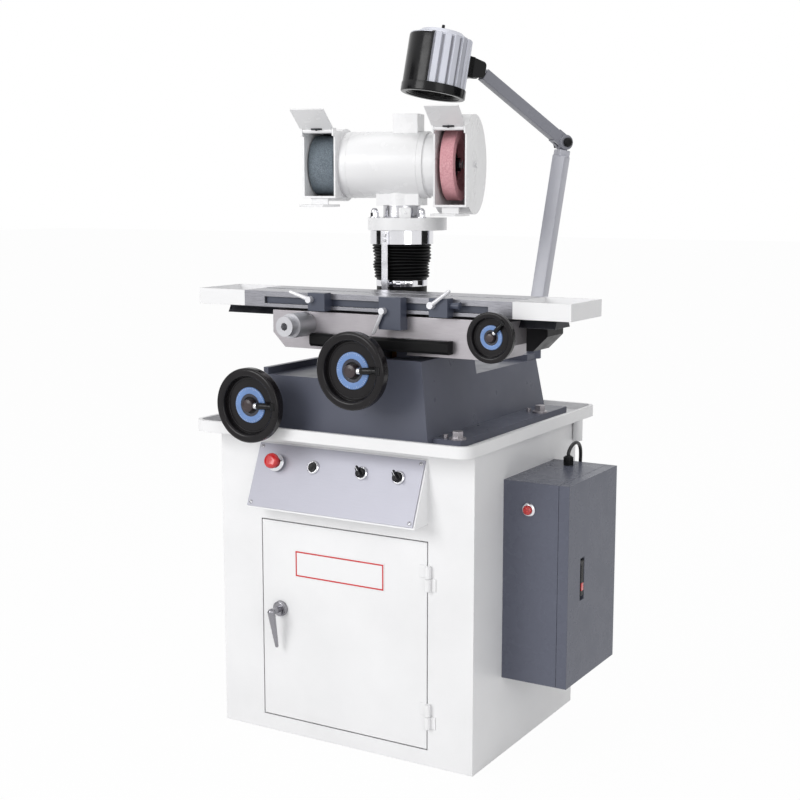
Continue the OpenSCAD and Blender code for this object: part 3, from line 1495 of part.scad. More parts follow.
cabinet();
cabinet_door();
door_handle();
coolant_tray();
panel_housing();
panel_plate();
switch_bezels();
estop_button();
start_button();
selector_left();
selector_right();
electric_box();
electric_door();
box_latch();
cable_glands();
cable_loop();
base_casting();
base_bolts();
column_sleeve();
elevating_screw();
elevation_shaft();
elevation_handwheel();
elevation_handle();
saddle();
way_cover();
end_cover();
cross_nut();
cross_screw();
cross_handwheel();
cross_handle();
center_stop();
center_lever();
long_slide();
table();
end_trays();
table_stops();
left_lever();
right_lever();
pinion_shaft();
table_handwheel();
table_handle();
feed_knob();
column_tube();
guide_bar();
bellows();
swivel_base();
motor_housing();
capacitor_box();
left_guard();
right_guard();
left_shield();
right_shield();
spindle();
grey_wheel();
pink_wheel();
wheel_flanges();
lamp_bracket();
lamp_lower_arm();
lamp_upper_arm();
lamp_head();
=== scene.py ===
import math

import bmesh
import bpy
from mathutils import Matrix, Vector


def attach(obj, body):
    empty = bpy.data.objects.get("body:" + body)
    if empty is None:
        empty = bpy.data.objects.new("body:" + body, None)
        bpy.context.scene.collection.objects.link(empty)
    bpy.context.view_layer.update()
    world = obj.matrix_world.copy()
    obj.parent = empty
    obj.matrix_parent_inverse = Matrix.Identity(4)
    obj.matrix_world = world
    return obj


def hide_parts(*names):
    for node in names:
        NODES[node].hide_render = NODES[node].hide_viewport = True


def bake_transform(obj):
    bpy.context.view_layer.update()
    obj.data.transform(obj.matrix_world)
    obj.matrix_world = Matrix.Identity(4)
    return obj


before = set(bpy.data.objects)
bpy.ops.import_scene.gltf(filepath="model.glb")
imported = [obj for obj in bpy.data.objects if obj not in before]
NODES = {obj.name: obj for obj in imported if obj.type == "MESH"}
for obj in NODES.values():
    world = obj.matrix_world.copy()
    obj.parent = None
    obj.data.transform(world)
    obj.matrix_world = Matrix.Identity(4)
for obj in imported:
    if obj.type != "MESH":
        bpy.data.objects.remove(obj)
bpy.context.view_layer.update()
MM = 0.001
scene = bpy.context.scene

# Camera, matched to the photograph
AZ, PITCH = math.radians(30.456), math.radians(8.664)
SENSOR_MM, LENS_MM, FAR_END = 36.0, 62.3, 60.0
CAMERA_PLACE = (1.5778, -2.6915, 1.2126)
cam = bpy.data.objects.new("camera", bpy.data.cameras.new("camera"))
cam.data.sensor_width = SENSOR_MM
cam.data.lens = LENS_MM
cam.data.clip_end = FAR_END
cam.location = CAMERA_PLACE
look = Vector((-math.sin(AZ) * math.cos(PITCH), math.cos(AZ) * math.cos(PITCH), -math.sin(PITCH)))
cam.rotation_euler = look.to_track_quat("-Z", "Y").to_euler()
scene.collection.objects.link(cam)
scene.camera = cam
scene.view_settings.view_transform = "Standard"

# Materials
BEVEL_SAMPLES = 4
EDGE_FLAT, EDGE_FULL = 0.985, 0.86  # cosine between the bevelled and the true normal, off and on an edge
MID = (0.3, 0.7)  # where most of a noise texture's values lie


def srgb(r, g, b):
    def lin(c):
        c /= 255.0
        return c / 12.92 if c <= 0.04045 else ((c + 0.055) / 1.055) ** 2.4
    return (lin(r), lin(g), lin(b), 1.0)


def tint(c, k):
    return tuple(min(1.0, v * k) for v in c[:3]) + (1.0,)


class Mat:
    """One procedural material: a Principled shader with helpers for its textures."""

    def __init__(self, name, color, rough, metallic=0.0):
        self.m = bpy.data.materials.new(name)
        self.m.use_nodes = True
        self.t = self.m.node_tree
        self.t.nodes.clear()
        out = self.add("ShaderNodeOutputMaterial")
        self.b = self.add("ShaderNodeBsdfPrincipled")
        self.link(self.b.outputs[0], out.inputs[0])
        self.b.inputs["Base Color"].default_value = color
        self.b.inputs["Roughness"].default_value = rough
        self.b.inputs["Metallic"].default_value = metallic
        self.m.diffuse_color = color
        self.coords = self.add("ShaderNodeTexCoord").outputs["Object"]

    def add(self, kind):
        return self.t.nodes.new(kind)

    def link(self, a, b):
        self.t.links.new(a, b)

    def noise(self, scale, detail=3.0, stretch=(1, 1, 1), turn=(0, 0, 0)):
        mp = self.add("ShaderNodeMapping")
        mp.inputs["Scale"].default_value = stretch
        mp.inputs["Rotation"].default_value = turn
        self.link(self.coords, mp.inputs["Vector"])
        n = self.add("ShaderNodeTexNoise")
        n.inputs["Scale"].default_value = scale
        n.inputs["Detail"].default_value = detail
        self.link(mp.outputs[0], n.inputs["Vector"])
        return n.outputs["Fac"]

    def cells(self, scale):
        n = self.add("ShaderNodeTexVoronoi")
        n.inputs["Scale"].default_value = scale
        self.link(self.coords, n.inputs["Vector"])
        return n.outputs["Distance"], n.outputs["Color"]

    def span(self, fac, lo, hi, a, b):
        n = self.add("ShaderNodeMapRange")
        n.inputs["From Min"].default_value = lo
        n.inputs["From Max"].default_value = hi
        n.inputs["To Min"].default_value = a
        n.inputs["To Max"].default_value = b
        self.link(fac, n.inputs["Value"])
        return n.outputs[0]

    def mix(self, fac, a, b):
        n = self.add("ShaderNodeMix")
        n.data_type = "RGBA"
        self.link(fac, n.inputs["Factor"])
        for sock, v in zip([s for s in n.inputs if s.type == "RGBA"], (a, b)):
            if isinstance(v, tuple):
                sock.default_value = v
            else:
                self.link(v, sock)
        return [s for s in n.outputs if s.type == "RGBA"][0]

    def math(self, op, a, b):
        n = self.add("ShaderNodeMath")
        n.operation = op
        for sock, v in zip(n.inputs, (a, b)):
            if isinstance(v, (int, float)):
                sock.default_value = v
            else:
                self.link(v, sock)
        return n.outputs[0]

    def bevel(self, radius):
        n = self.add("ShaderNodeBevel")
        n.samples = BEVEL_SAMPLES
        n.inputs["Radius"].default_value = radius * MM
        return n.outputs[0]

    def edges(self, radius):
        """1 on convex and concave edges, 0 on the flats."""
        d = self.add("ShaderNodeVectorMath")
        d.operation = "DOT_PRODUCT"
        g = self.add("ShaderNodeNewGeometry")
        self.link(self.bevel(radius), d.inputs[0])
        self.link(g.outputs["Normal"], d.inputs[1])
        return self.span(d.outputs["Value"], EDGE_FLAT, EDGE_FULL, 0.0, 1.0)

    def bump(self, height, strength, distance, normal=None):
        n = self.add("ShaderNodeBump")
        n.inputs["Strength"].default_value = strength
        n.inputs["Distance"].default_value = distance * MM
        self.link(height, n.inputs["Height"])
        if normal is not None:
            self.link(normal, n.inputs["Normal"])
        self.link(n.outputs[0], self.b.inputs["Normal"])

    def set(self, **kw):
        for k, v in kw.items():
            self.b.inputs[k.replace("_", " ")].default_value = v


def paint(name, color, rough, peel=520, peel_bump=0.06, mottle=0.035, grime_and_shade=0.0, round_mm=1.2, gloss=0.5):
    """Sprayed enamel: orange peel, faint mottling, rounded edges, and darkened edges and creases for dirt and painted
    shade.
    """
    m = Mat(name, color, rough)
    base = m.mix(m.span(m.noise(5.0, 5.0), *MID, 0.0, 1.0), tint(color, 1 - mottle), tint(color, 1 + mottle))
    if grime_and_shade:
        # Darkens convex and concave edges under a noise: dirt on the edges and painted shade in the creases
        edge_mask = m.math("MULTIPLY", m.edges(3.0), m.span(m.noise(38.0, 4.0), 0.42, 0.66, 0.0, grime_and_shade))
        base = m.mix(edge_mask, base, tint(color, 0.55))
    m.link(base, m.b.inputs["Base Color"])
    m.link(m.span(m.noise(24.0, 4.0), *MID, rough - 0.05, rough + 0.06), m.b.inputs["Roughness"])
    m.set(Specular_IOR_Level=gloss)
    m.bump(m.noise(peel, 2.0), peel_bump, 0.4, m.bevel(round_mm))
    return m.m


def metal(name, color, rough, grain, stretch, bump=0.05, mottle=0.1, edge=None, stain=0.0, turn=(0, 0, 0),
          metallic=1.0):
    """Worked metal: directional tool marks, stains and bright or dark edges."""
    m = Mat(name, color, rough, metallic)
    lines = m.noise(grain, 4.0, stretch, turn)
    base = m.mix(m.span(lines, *MID, 0.0, 1.0), tint(color, 1 - mottle), tint(color, 1 + mottle))
    if stain:
        base = m.mix(m.span(m.noise(14.0, 6.0), 0.45, 0.75, 0.0, stain), base, tint(color, 0.62))
    if edge:
        base = m.mix(m.edges(0.9), base, edge)
    m.link(base, m.b.inputs["Base Color"])
    m.link(m.span(lines, 0.25, 0.75, rough - 0.07, rough + 0.08), m.b.inputs["Roughness"])
    m.bump(lines, bump, 0.25, m.bevel(0.8))
    return m.m


def plastic(name, color, rough, grain=900, bump=0.05, wear=None, coat=0.0, round_mm=0.8, mottle=0.1, gloss=0.5):
    """Moulded plastic or bakelite: fine grain, handling marks and slightly worn edges."""
    m = Mat(name, color, rough)
    base = m.mix(m.span(m.noise(30.0, 4.0), 0.35, 0.7, 0.0, 1.0), tint(color, 1 - mottle), tint(color, 1 + mottle))
    if wear:
        edge_mask = m.math("MULTIPLY", m.edges(0.9), m.span(m.noise(60.0, 4.0), 0.4, 0.7, 0.0, 0.8))
        base = m.mix(edge_mask, base, wear)
    m.link(base, m.b.inputs["Base Color"])
    m.link(m.span(m.noise(45.0, 5.0), *MID, max(0.03, rough - 0.06), rough + 0.08), m.b.inputs["Roughness"])
    m.bump(m.noise(grain, 2.0), bump, 0.2, m.bevel(round_mm))
    m.set(Coat_Weight=coat, Coat_Roughness=0.08, Specular_IOR_Level=gloss)
    return m.m


def abrasive(name, color, dark, pale):
    """Bonded grit: sparkling light and dark grains in a porous bond."""
    m = Mat(name, color, 0.9)
    dist, tone = m.cells(760.0)
    sep = m.add("ShaderNodeSeparateColor")
    m.link(tone, sep.inputs[0])
    base = m.mix(sep.outputs[0], dark, pale)
    base = m.mix(m.span(m.noise(20.0, 4.0), 0.35, 0.7, 0.25, 0.75), base, color)
    m.link(base, m.b.inputs["Base Color"])
    m.bump(dist, 0.55, 0.7, m.bevel(0.8))
    return m.m


WHITE = srgb(238, 238, 239)
HEAD = srgb(241, 241, 242)
SLATE = srgb(93, 96, 109)
M = {
    "cabinet_paint": paint("cabinet_paint", WHITE, 0.36, grime_and_shade=0.10),
    "head_paint": paint("head_paint", HEAD, 0.24, peel=420, peel_bump=0.04, grime_and_shade=0.12),
    "slate_paint": paint("slate_paint", SLATE, 0.32, peel=340, peel_bump=0.06, mottle=0.045, round_mm=0.4,
                         gloss=0.18),
    "box_paint": paint("box_paint", srgb(97, 100, 113), 0.27, peel=460, peel_bump=0.035, mottle=0.025, gloss=0.18),
    "stop_paint": paint("stop_paint", srgb(66, 71, 86), 0.34, peel=380, peel_bump=0.1, mottle=0.06, grime_and_shade=0.3),
    "machined_iron": metal("machined_iron", srgb(168, 164, 168), 0.36, 24.0, (1.5, 90, 90), 0.06, 0.10,
                           srgb(196, 194, 196), 0.35, metallic=0.75),
    "table_iron": metal("table_iron", srgb(146, 146, 152), 0.3, 26.0, (1.5, 90, 90), 0.05, 0.12,
                        srgb(186, 186, 190), 0.35, metallic=0.8),
    "dark_steel": metal("dark_steel", srgb(58, 59, 64), 0.36, 60.0, (1, 1, 1), 0.06, 0.15, srgb(120, 120, 124), 0.3),
    "bright_steel": metal("bright_steel", srgb(196, 196, 200), 0.22, 40.0, (1, 40, 1), 0.03, 0.06, None, 0.12),
    "satin_steel": metal("satin_steel", srgb(184, 184, 188), 0.44, 40.0, (1, 40, 1), 0.03, 0.05, None, 0.08,
                         metallic=0.65),
    "chrome": metal("chrome", srgb(222, 222, 226), 0.09, 50.0, (1, 1, 1), 0.01, 0.03),
    # A darker copy of the chrome: painted dark reflection, with painted highlights on its lighter edges
    "chrome_with_painted_reflection": metal("chrome_with_painted_reflection", srgb(150, 149, 154), 0.16, 50.0, (1, 1, 1), 0.01, 0.06,
                           srgb(214, 214, 218), 0.1),
    "lever_silver": metal("lever_silver", srgb(214, 214, 218), 0.36, 80.0, (1, 1, 1), 0.04, 0.05, None, 0.06,
                          metallic=0.55),
    "panel_aluminium": metal("panel_aluminium", srgb(166, 166, 176), 0.46, 16.0, (2, 130, 130), 0.03, 0.05, None, 0.08,
                             metallic=0.35),
    "wheel_black": plastic("wheel_black", srgb(26, 24, 26), 0.2, 420, 0.03, srgb(58, 56, 58), 0.05, 1.0, gloss=0.2),
    "grip_black": plastic("grip_black", srgb(18, 18, 20), 0.2, 600, 0.03, srgb(48, 48, 50), 0.06, gloss=0.2),
    "black_plastic": plastic("black_plastic", srgb(22, 22, 24), 0.36, 1100, 0.1, srgb(44, 44, 46), gloss=0.18),
    "red_plastic": plastic("red_plastic", srgb(206, 34, 38), 0.2, 700, 0.03, None, 0.5),
    "bellows_rubber": plastic("bellows_rubber", srgb(14, 14, 15), 0.42, 500, 0.16, srgb(32, 32, 33), gloss=0.14),
    "cable_rubber": plastic("cable_rubber", srgb(24, 24, 26), 0.42, 700, 0.12),
    "grey_abrasive": abrasive("grey_abrasive", srgb(108, 119, 128), srgb(78, 88, 97), srgb(143, 153, 161)),
    "pink_abrasive": abrasive("pink_abrasive", srgb(218, 156, 164), srgb(188, 118, 128), srgb(242, 198, 202)),
    "bronze": metal("bronze", srgb(176, 128, 70), 0.3, 40.0, (1, 30, 1), 0.04, 0.08, srgb(214, 170, 108), 0.3),
    "lamp_metal": metal("lamp_metal", srgb(204, 206, 216), 0.44, 30.0, (1, 1, 0.2), 0.03, 0.05,
                        srgb(226, 227, 232), 0.1, metallic=0.25),
    "arm_metal": paint("arm_metal", srgb(136, 137, 146), 0.3, peel=500, peel_bump=0.05, grime_and_shade=0.2),
    "arm_pale": paint("arm_pale", srgb(188, 189, 198), 0.32, peel=500, peel_bump=0.05, grime_and_shade=0.2),
    "dial_blue": plastic("dial_blue", srgb(104, 138, 192), 0.24, 600, 0.03, None, 0.4),
    "dial_navy": plastic("dial_navy", srgb(30, 32, 48), 0.26, 600, 0.03, None, 0.4),
    "mark_white": plastic("mark_white", srgb(222, 224, 228), 0.4, mottle=0.02),
    "border_red": plastic("border_red", srgb(206, 40, 44), 0.35, mottle=0.04),
    "plate_white": plastic("plate_white", srgb(240, 240, 241), 0.42, 500, 0.02, mottle=0.003, gloss=0.3),
    # Near-black reflector: its own dark finish and painted shade for the dim inside of the lamp
    "reflector": plastic("reflector", srgb(26, 26, 28), 0.24, 300, 0.05, None, 0.3),
    "hub_dark": plastic("hub_dark", srgb(60, 50, 52), 0.3, 420, 0.03, srgb(104, 92, 92), 0.1, gloss=0.35),
    "bulb_glass": plastic("bulb_glass", srgb(244, 243, 238), 0.3, 300, 0.01, None, 0.3),
}


def lens_red():
    m = Mat("lens_red", srgb(214, 32, 30), 0.12)
    dist, _ = m.cells(420.0)
    m.bump(dist, 0.35, 0.6, m.bevel(0.6))
    base = m.mix(m.span(dist, 0.0, 0.6, 0.0, 1.0), srgb(232, 60, 50), srgb(170, 18, 22))
    m.link(base, m.b.inputs["Base Color"])
    m.set(Coat_Weight=0.6, Coat_Roughness=0.05)
    return m.m


M["lens_red"] = lens_red()

NODE_LOOK = {
    "cabinet": "cabinet_paint", "cabinet_door": "cabinet_paint", "door_handle": "chrome_with_painted_reflection",
    "coolant_tray": "cabinet_paint", "panel_housing": "cabinet_paint", "panel_plate": "panel_aluminium",
    "switch_bezels": "chrome", "estop_button": "red_plastic", "start_button": "black_plastic",
    "selector_left": "black_plastic", "selector_right": "black_plastic", "electric_box": "box_paint",
    "electric_door": "box_paint", "box_latch": "black_plastic", "cable_glands": "black_plastic",
    "cable_loop": "cable_rubber", "base_casting": "slate_paint", "base_bolts": "machined_iron",
    "column_sleeve": "dark_steel", "elevating_screw": "bright_steel", "elevation_shaft": "bright_steel",
    "elevation_handwheel": "wheel_black", "elevation_handle": "grip_black", "saddle": "machined_iron",
    "way_cover": "bellows_rubber", "end_cover": "black_plastic", "cross_nut": "bronze",
    "cross_screw": "bright_steel", "cross_handwheel": "wheel_black", "cross_handle": "grip_black",
    # long_slide in dark steel: the dark strip under the table, partly the slide's steel and partly painted shade
    "center_stop": "stop_paint", "center_lever": "lever_silver", "long_slide": "dark_steel",
    "table": "table_iron", "end_trays": "cabinet_paint", "table_stops": "stop_paint",
    "left_lever": "lever_silver", "right_lever": "lever_silver", "pinion_shaft": "bright_steel",
    "table_handwheel": "wheel_black", "table_handle": "grip_black", "feed_knob": "satin_steel",
    "column_tube": "chrome", "guide_bar": "bright_steel", "bellows": "bellows_rubber",
    "swivel_base": "head_paint", "motor_housing": "head_paint", "capacitor_box": "head_paint",
    "left_guard": "head_paint", "right_guard": "head_paint", "left_shield": "head_paint",
    "right_shield": "head_paint", "spindle": "bright_steel", "grey_wheel": "grey_abrasive",
    "pink_wheel": "pink_abrasive", "wheel_flanges": "dark_steel", "lamp_bracket": "slate_paint",
    "lamp_lower_arm": "arm_metal", "lamp_upper_arm": "arm_metal", "lamp_head": "lamp_metal",
}
for node, look_name in NODE_LOOK.items():
    obj = NODES[node]
    if not obj.material_slots:
        obj.data.materials.append(M[look_name])
    for s in obj.material_slots:
        s.material = M[look_name]


# Mesh building, in millimetres
def move(x, y, z):
    return Matrix.Translation((x, y, z))


def turn(axis, deg):
    return Matrix.Rotation(math.radians(deg), 4, axis)


def fillet(points, closed=False, steps=5):
    """Outline with its corners rounded: a point is (x, y) or (x, y, radius)."""
    out = []
    n = len(points)
    for i, p in enumerate(points):
        r = p[2] if len(p) > 2 else 0
        if not r or (not closed and i in (0, n - 1)):
            out.append((p[0], p[1]))
            continue
        a, b, c = (Vector(points[(i + k) % n][:2]) for k in (-1, 0, 1))
        u, v = (a - b).normalized(), (c - b).normalized()
        half = math.acos(max(-1.0, min(1.0, u.dot(v)))) / 2
        d = min(r / math.tan(half), (a - b).length * 0.499, (c - b).length * 0.499)
        mid = b + (u + v).normalized() * (d / math.cos(half))
        s, e = b + u * d - mid, b + v * d - mid
        sweep = math.atan2(s.x * e.y - s.y * e.x, s.dot(e))
        for k in range(steps + 1):
            q = sweep * k / steps
            w = Vector((s.x * math.cos(q) - s.y * math.sin(q), s.x * math.sin(q) + s.y * math.cos(q))) + mid
            out.append((w.x, w.y))
    return out


def lathe(profile, n=64, closed=False, arc=None):
    """Turned form about +Z from (radius, height) points; arc = (from, to) degrees makes a part turn."""
    full = arc is None
    a0, a1 = (0.0, 360.0) if full else arc
    cols = n if full else n + 1
    verts, faces = [], []
    for i in range(cols):
        a = math.radians(a0 + (a1 - a0) * i / n)
        verts += [(r * math.cos(a), r * math.sin(a), z) for r, z in profile]
    k = len(profile)
    for i in range(n):
        j = (i + 1) % cols
        for p in range(k if closed else k - 1):
            q = (p + 1) % k
            faces.append((i * k + p, j * k + p, j * k + q, i * k + q))
    if not full and closed:
        faces.append(tuple(range(k)))
        faces.append(tuple(reversed(range((cols - 1) * k, cols * k))))
    return verts, faces


def prism(outline, z0, z1):
    n = len(outline)
    verts = [(x, y, z0) for x, y in outline] + [(x, y, z1) for x, y in outline]
    faces = [tuple(reversed(range(n))), tuple(range(n, 2 * n))]
    faces += [(i, (i + 1) % n, n + (i + 1) % n, n + i) for i in range(n)]
    return verts, faces


def soft_box(w, d, h, r, seg=3):
    """Box centred in X and Y on z = 0 with every edge rounded."""
    bm = bmesh.new()
    bmesh.ops.create_cube(bm, size=1.0)
    bmesh.ops.scale(bm, vec=(w, d, h), verts=bm.verts)
    bmesh.ops.translate(bm, vec=(0, 0, h / 2), verts=bm.verts)
    bmesh.ops.bevel(bm, geom=list(bm.edges), offset=r, segments=seg, profile=0.5, affect="EDGES")
    bm.verts.index_update()
    verts = [tuple(v.co) for v in bm.verts]
    faces = [tuple(v.index for v in f.verts) for f in bm.faces]
    bm.free()
    return verts, faces


def smooth_path(points, per=6):
    """Catmull-Rom curve through the points."""
    pts = [Vector(p) for p in points]
    pts = [pts[0] * 2 - pts[1]] + pts + [pts[-1] * 2 - pts[-2]]
    out = []
    for i in range(1, len(pts) - 2):
        a, b, c, d = pts[i - 1:i + 3]
        for k in range(per):
            t = k / per
            out.append(0.5 * (2 * b + (c - a) * t + (2 * a - 5 * b + 4 * c - d) * t * t
                              + (3 * b - a - 3 * c + d) * t ** 3))
    out.append(pts[-2])
    return out


def sweep_tube(path, radius, n=14):
    """Round tube along a path, its frame carried along without twist."""
    verts, faces = [], []
    t = (path[1] - path[0]).normalized()
    u = t.orthogonal().normalized()
    for i, p in enumerate(path):
        nt = (path[min(i + 1, len(path) - 1)] - path[max(i - 1, 0)]).normalized()
        u = (u - nt * u.dot(nt)).normalized()
        v = nt.cross(u)
        verts += [tuple(p + radius * (math.cos(2 * math.pi * k / n) * u + math.sin(2 * math.pi * k / n) * v))
                  for k in range(n)]
    for i in range(len(path) - 1):
        for k in range(n):
            j = (k + 1) % n
            faces.append((i * n + k, i * n + j, (i + 1) * n + j, (i + 1) * n + k))
    faces.append(tuple(reversed(range(n))))
    faces.append(tuple(range((len(path) - 1) * n, len(path) * n)))
    return verts, faces


def merged(*parts):
    """Several (shape, matrix) pairs as one shape."""
    verts, faces = [], []
    for (v, f), at in parts:
        k = len(verts)
        verts += [tuple(at @ Vector(p)) for p in v]
        faces += [tuple(i + k for i in q) for q in f]
    return verts, faces


def piece(name, shape, look_name, body, at=None, replaces=(), sharp=32):
    """A mesh piece in the shared frame that rides on a body."""
    verts, faces = shape
    mesh = bpy.data.meshes.new(name)
    mesh.from_pydata(verts, [], faces)
    bm = bmesh.new()
    bm.from_mesh(mesh)
    bmesh.ops.remove_doubles(bm, verts=bm.verts, dist=1e-4)
    bmesh.ops.dissolve_degenerate(bm, edges=bm.edges, dist=1e-5)
    bmesh.ops.recalc_face_normals(bm, faces=bm.faces)
    bmesh.ops.transform(bm, matrix=Matrix.Scale(MM, 4) @ (at or Matrix()), verts=bm.verts)
    bm.to_mesh(mesh)
    bm.free()
    mesh.polygons.foreach_set("use_smooth", [True] * len(mesh.polygons))
    mesh.set_sharp_from_angle(angle=math.radians(sharp))
    mesh.materials.append(M[look_name])
    obj = bpy.data.objects.new(name, mesh)
    scene.collection.objects.link(obj)
    if body:
        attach(obj, body)
    if replaces:
        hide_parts(*replaces)
    return obj


I4 = Matrix()


def turned(points, n, closed=False, steps=5):
    """Turned form whose outline has rounded corners."""
    return lathe(fillet(points, closed, steps), n, closed)


def rounded_rect(w, d, r, steps):
    x, y = w / 2, d / 2
    return fillet([(-x, -y, r), (x, -y, r), (x, y, r), (-x, y, r)], True, steps)


def hexagon(radius, corner, steps):
    angles = [math.radians(60 * k) for k in range(6)]
    return fillet([(radius * math.cos(a), radius * math.sin(a), corner) for a in angles], True, steps)


# Cable loop from the box's roof gland over the back edge to the gland on the cabinet's side
GLAND = Vector((374.5, 90, 630))
WALL_TIP = Vector((341, 160, 546))
GLAND_H = 21
CABLE_R = 4.0
INSIDE = 12
LEAD, BEND_R = 3, 30
STEPS = [(0, 0, -INSIDE), (0, 0, 0), (0, 0, 6), (1.2, 6, 15), (2.6, 16, 22), (3.5, 30, 24.5), (3.5, 45, 21),
         (3, 56, 12), (2, 63, -1), (0.5, 66.5, -18), (-1, 68.5, -36)]
BEND = [(LEAD + BEND_R * math.cos(math.radians(a)), 0, BEND_R - BEND_R * math.sin(math.radians(a)))
        for a in (0, 30, 60)] + [(LEAD, 0, 0), (0, 0, 0), (-INSIDE, 0, 0)]
route = smooth_path([GLAND + Vector(q) for q in STEPS] + [WALL_TIP + Vector(q) for q in BEND])
piece("cable", sweep_tube(route, CABLE_R), "cable_rubber", "frame", replaces=("cable_loop",))


def gland_shape():
    """Hexagon foot, domed nut and grip fins, GLAND_H tall."""
    fin_count = 18
    nut = turned([(0, 7.2), (10.3, 7.2), (10.3, 9, 0.8), (9.6, 15, 2), (8.4, 19.5, 2.5), (6.2, GLAND_H, 1.2),
                  (4.2, GLAND_H), (4.2, 12)], 48)
    fins = [(soft_box(2.6, 1.6, 10.5, 0.6, 2), turn("Z", 360 / fin_count * k) @ move(9.7, 0, 7.6))
            for k in range(fin_count)]
    return merged((prism(hexagon(12, 1.2, 3), 0, 7.3), I4), (nut, I4), *fins)


on_roof = move(GLAND.x, GLAND.y, GLAND.z - GLAND_H)
on_wall = move(WALL_TIP.x - GLAND_H, WALL_TIP.y, WALL_TIP.z) @ turn("Y", 90)
piece("cable_gland_fittings", merged((gland_shape(), on_roof), (gland_shape(), on_wall)),
      "black_plastic", "frame", replaces=("cable_glands",))

# Bellows: plain cuff round the sleeve's neck, uneven rounded ribs up to the collar
COL = move(-41, 70, 0)
RIBS, RIB_STEPS, RIB_H = 11, 9, 5.0
BORE_R, CUFF_R, FLARE, MEAN_R = 56.8, 58.0, 5.0, 62.0
Z_CUFF, Z_CUFF_TOP, Z_LOW, Z_HIGH = 975.4, 1010.0, 1010.3, 1088.5
profile = [(BORE_R, Z_CUFF), (CUFF_R, Z_CUFF), (CUFF_R, Z_CUFF_TOP)]
for i in range(RIBS):
    for k in range(RIB_STEPS):
        t = (i + k / RIB_STEPS) / RIBS
        crest = RIB_H * math.sin(math.pi * k / RIB_STEPS) ** 0.7 if k else 0.0
        profile.append((CUFF_R + FLARE * t + crest, Z_LOW + (Z_HIGH - Z_LOW) * t))
profile += [(CUFF_R + FLARE, Z_HIGH), (BORE_R, Z_HIGH)]
rings, faces = lathe(profile, 96, True)


def crumple(x, y, z):
    """Uneven set of the rubber folds, none at the two clamped ends."""
    t = min(1.0, max(0.0, (z - Z_LOW) / (Z_HIGH - Z_LOW)))
    a = math.atan2(y, x)
    slack = math.sin(math.pi * t)
    w = slack * (1.1 * math.sin(3 * a + 9 * t) + 0.9 * math.sin(5 * a - 14 * t + 1.0))
    k = 1 + w / MEAN_R
    return x * k, y * k, z + 1.6 * slack * math.sin(2 * a + 7 * t)


bellows = piece("bellows_ribs", ([crumple(*v) for v in rings], faces), "bellows_rubber", None,
                at=COL, replaces=("bellows",), sharp=50)
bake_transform(bellows)
band = turned([(58.1, 993), (59.3, 993, 0.4), (59.3, 1007, 0.4), (58.1, 1007)], 96, True, 2)
worm = merged((soft_box(11, 30, 15, 2.2), move(63.2, 0, 992.5)),
              (turned([(0, 0), (4.6, 0), (4.6, 9, 1), (0, 9)], 24), move(63.5, -15, 1000) @ turn("X", 90)),
              (soft_box(1.2, 9, 11, 0.3, 1), move(68.4, 3, 994.5)),
              (soft_box(1.2, 2.4, 11, 0.3, 1), move(68.6, -6, 994.5)))
piece("bellows_clamp", merged((band, I4), (worm, turn("Z", -50))), "chrome", "frame", at=COL)


# Handwheels: dial ring with marks, hub cap and bead, ferrule and sleeve on the folding handle
def wheel_at(x, y, z):
    return move(x, y, z) @ turn("X", 90)


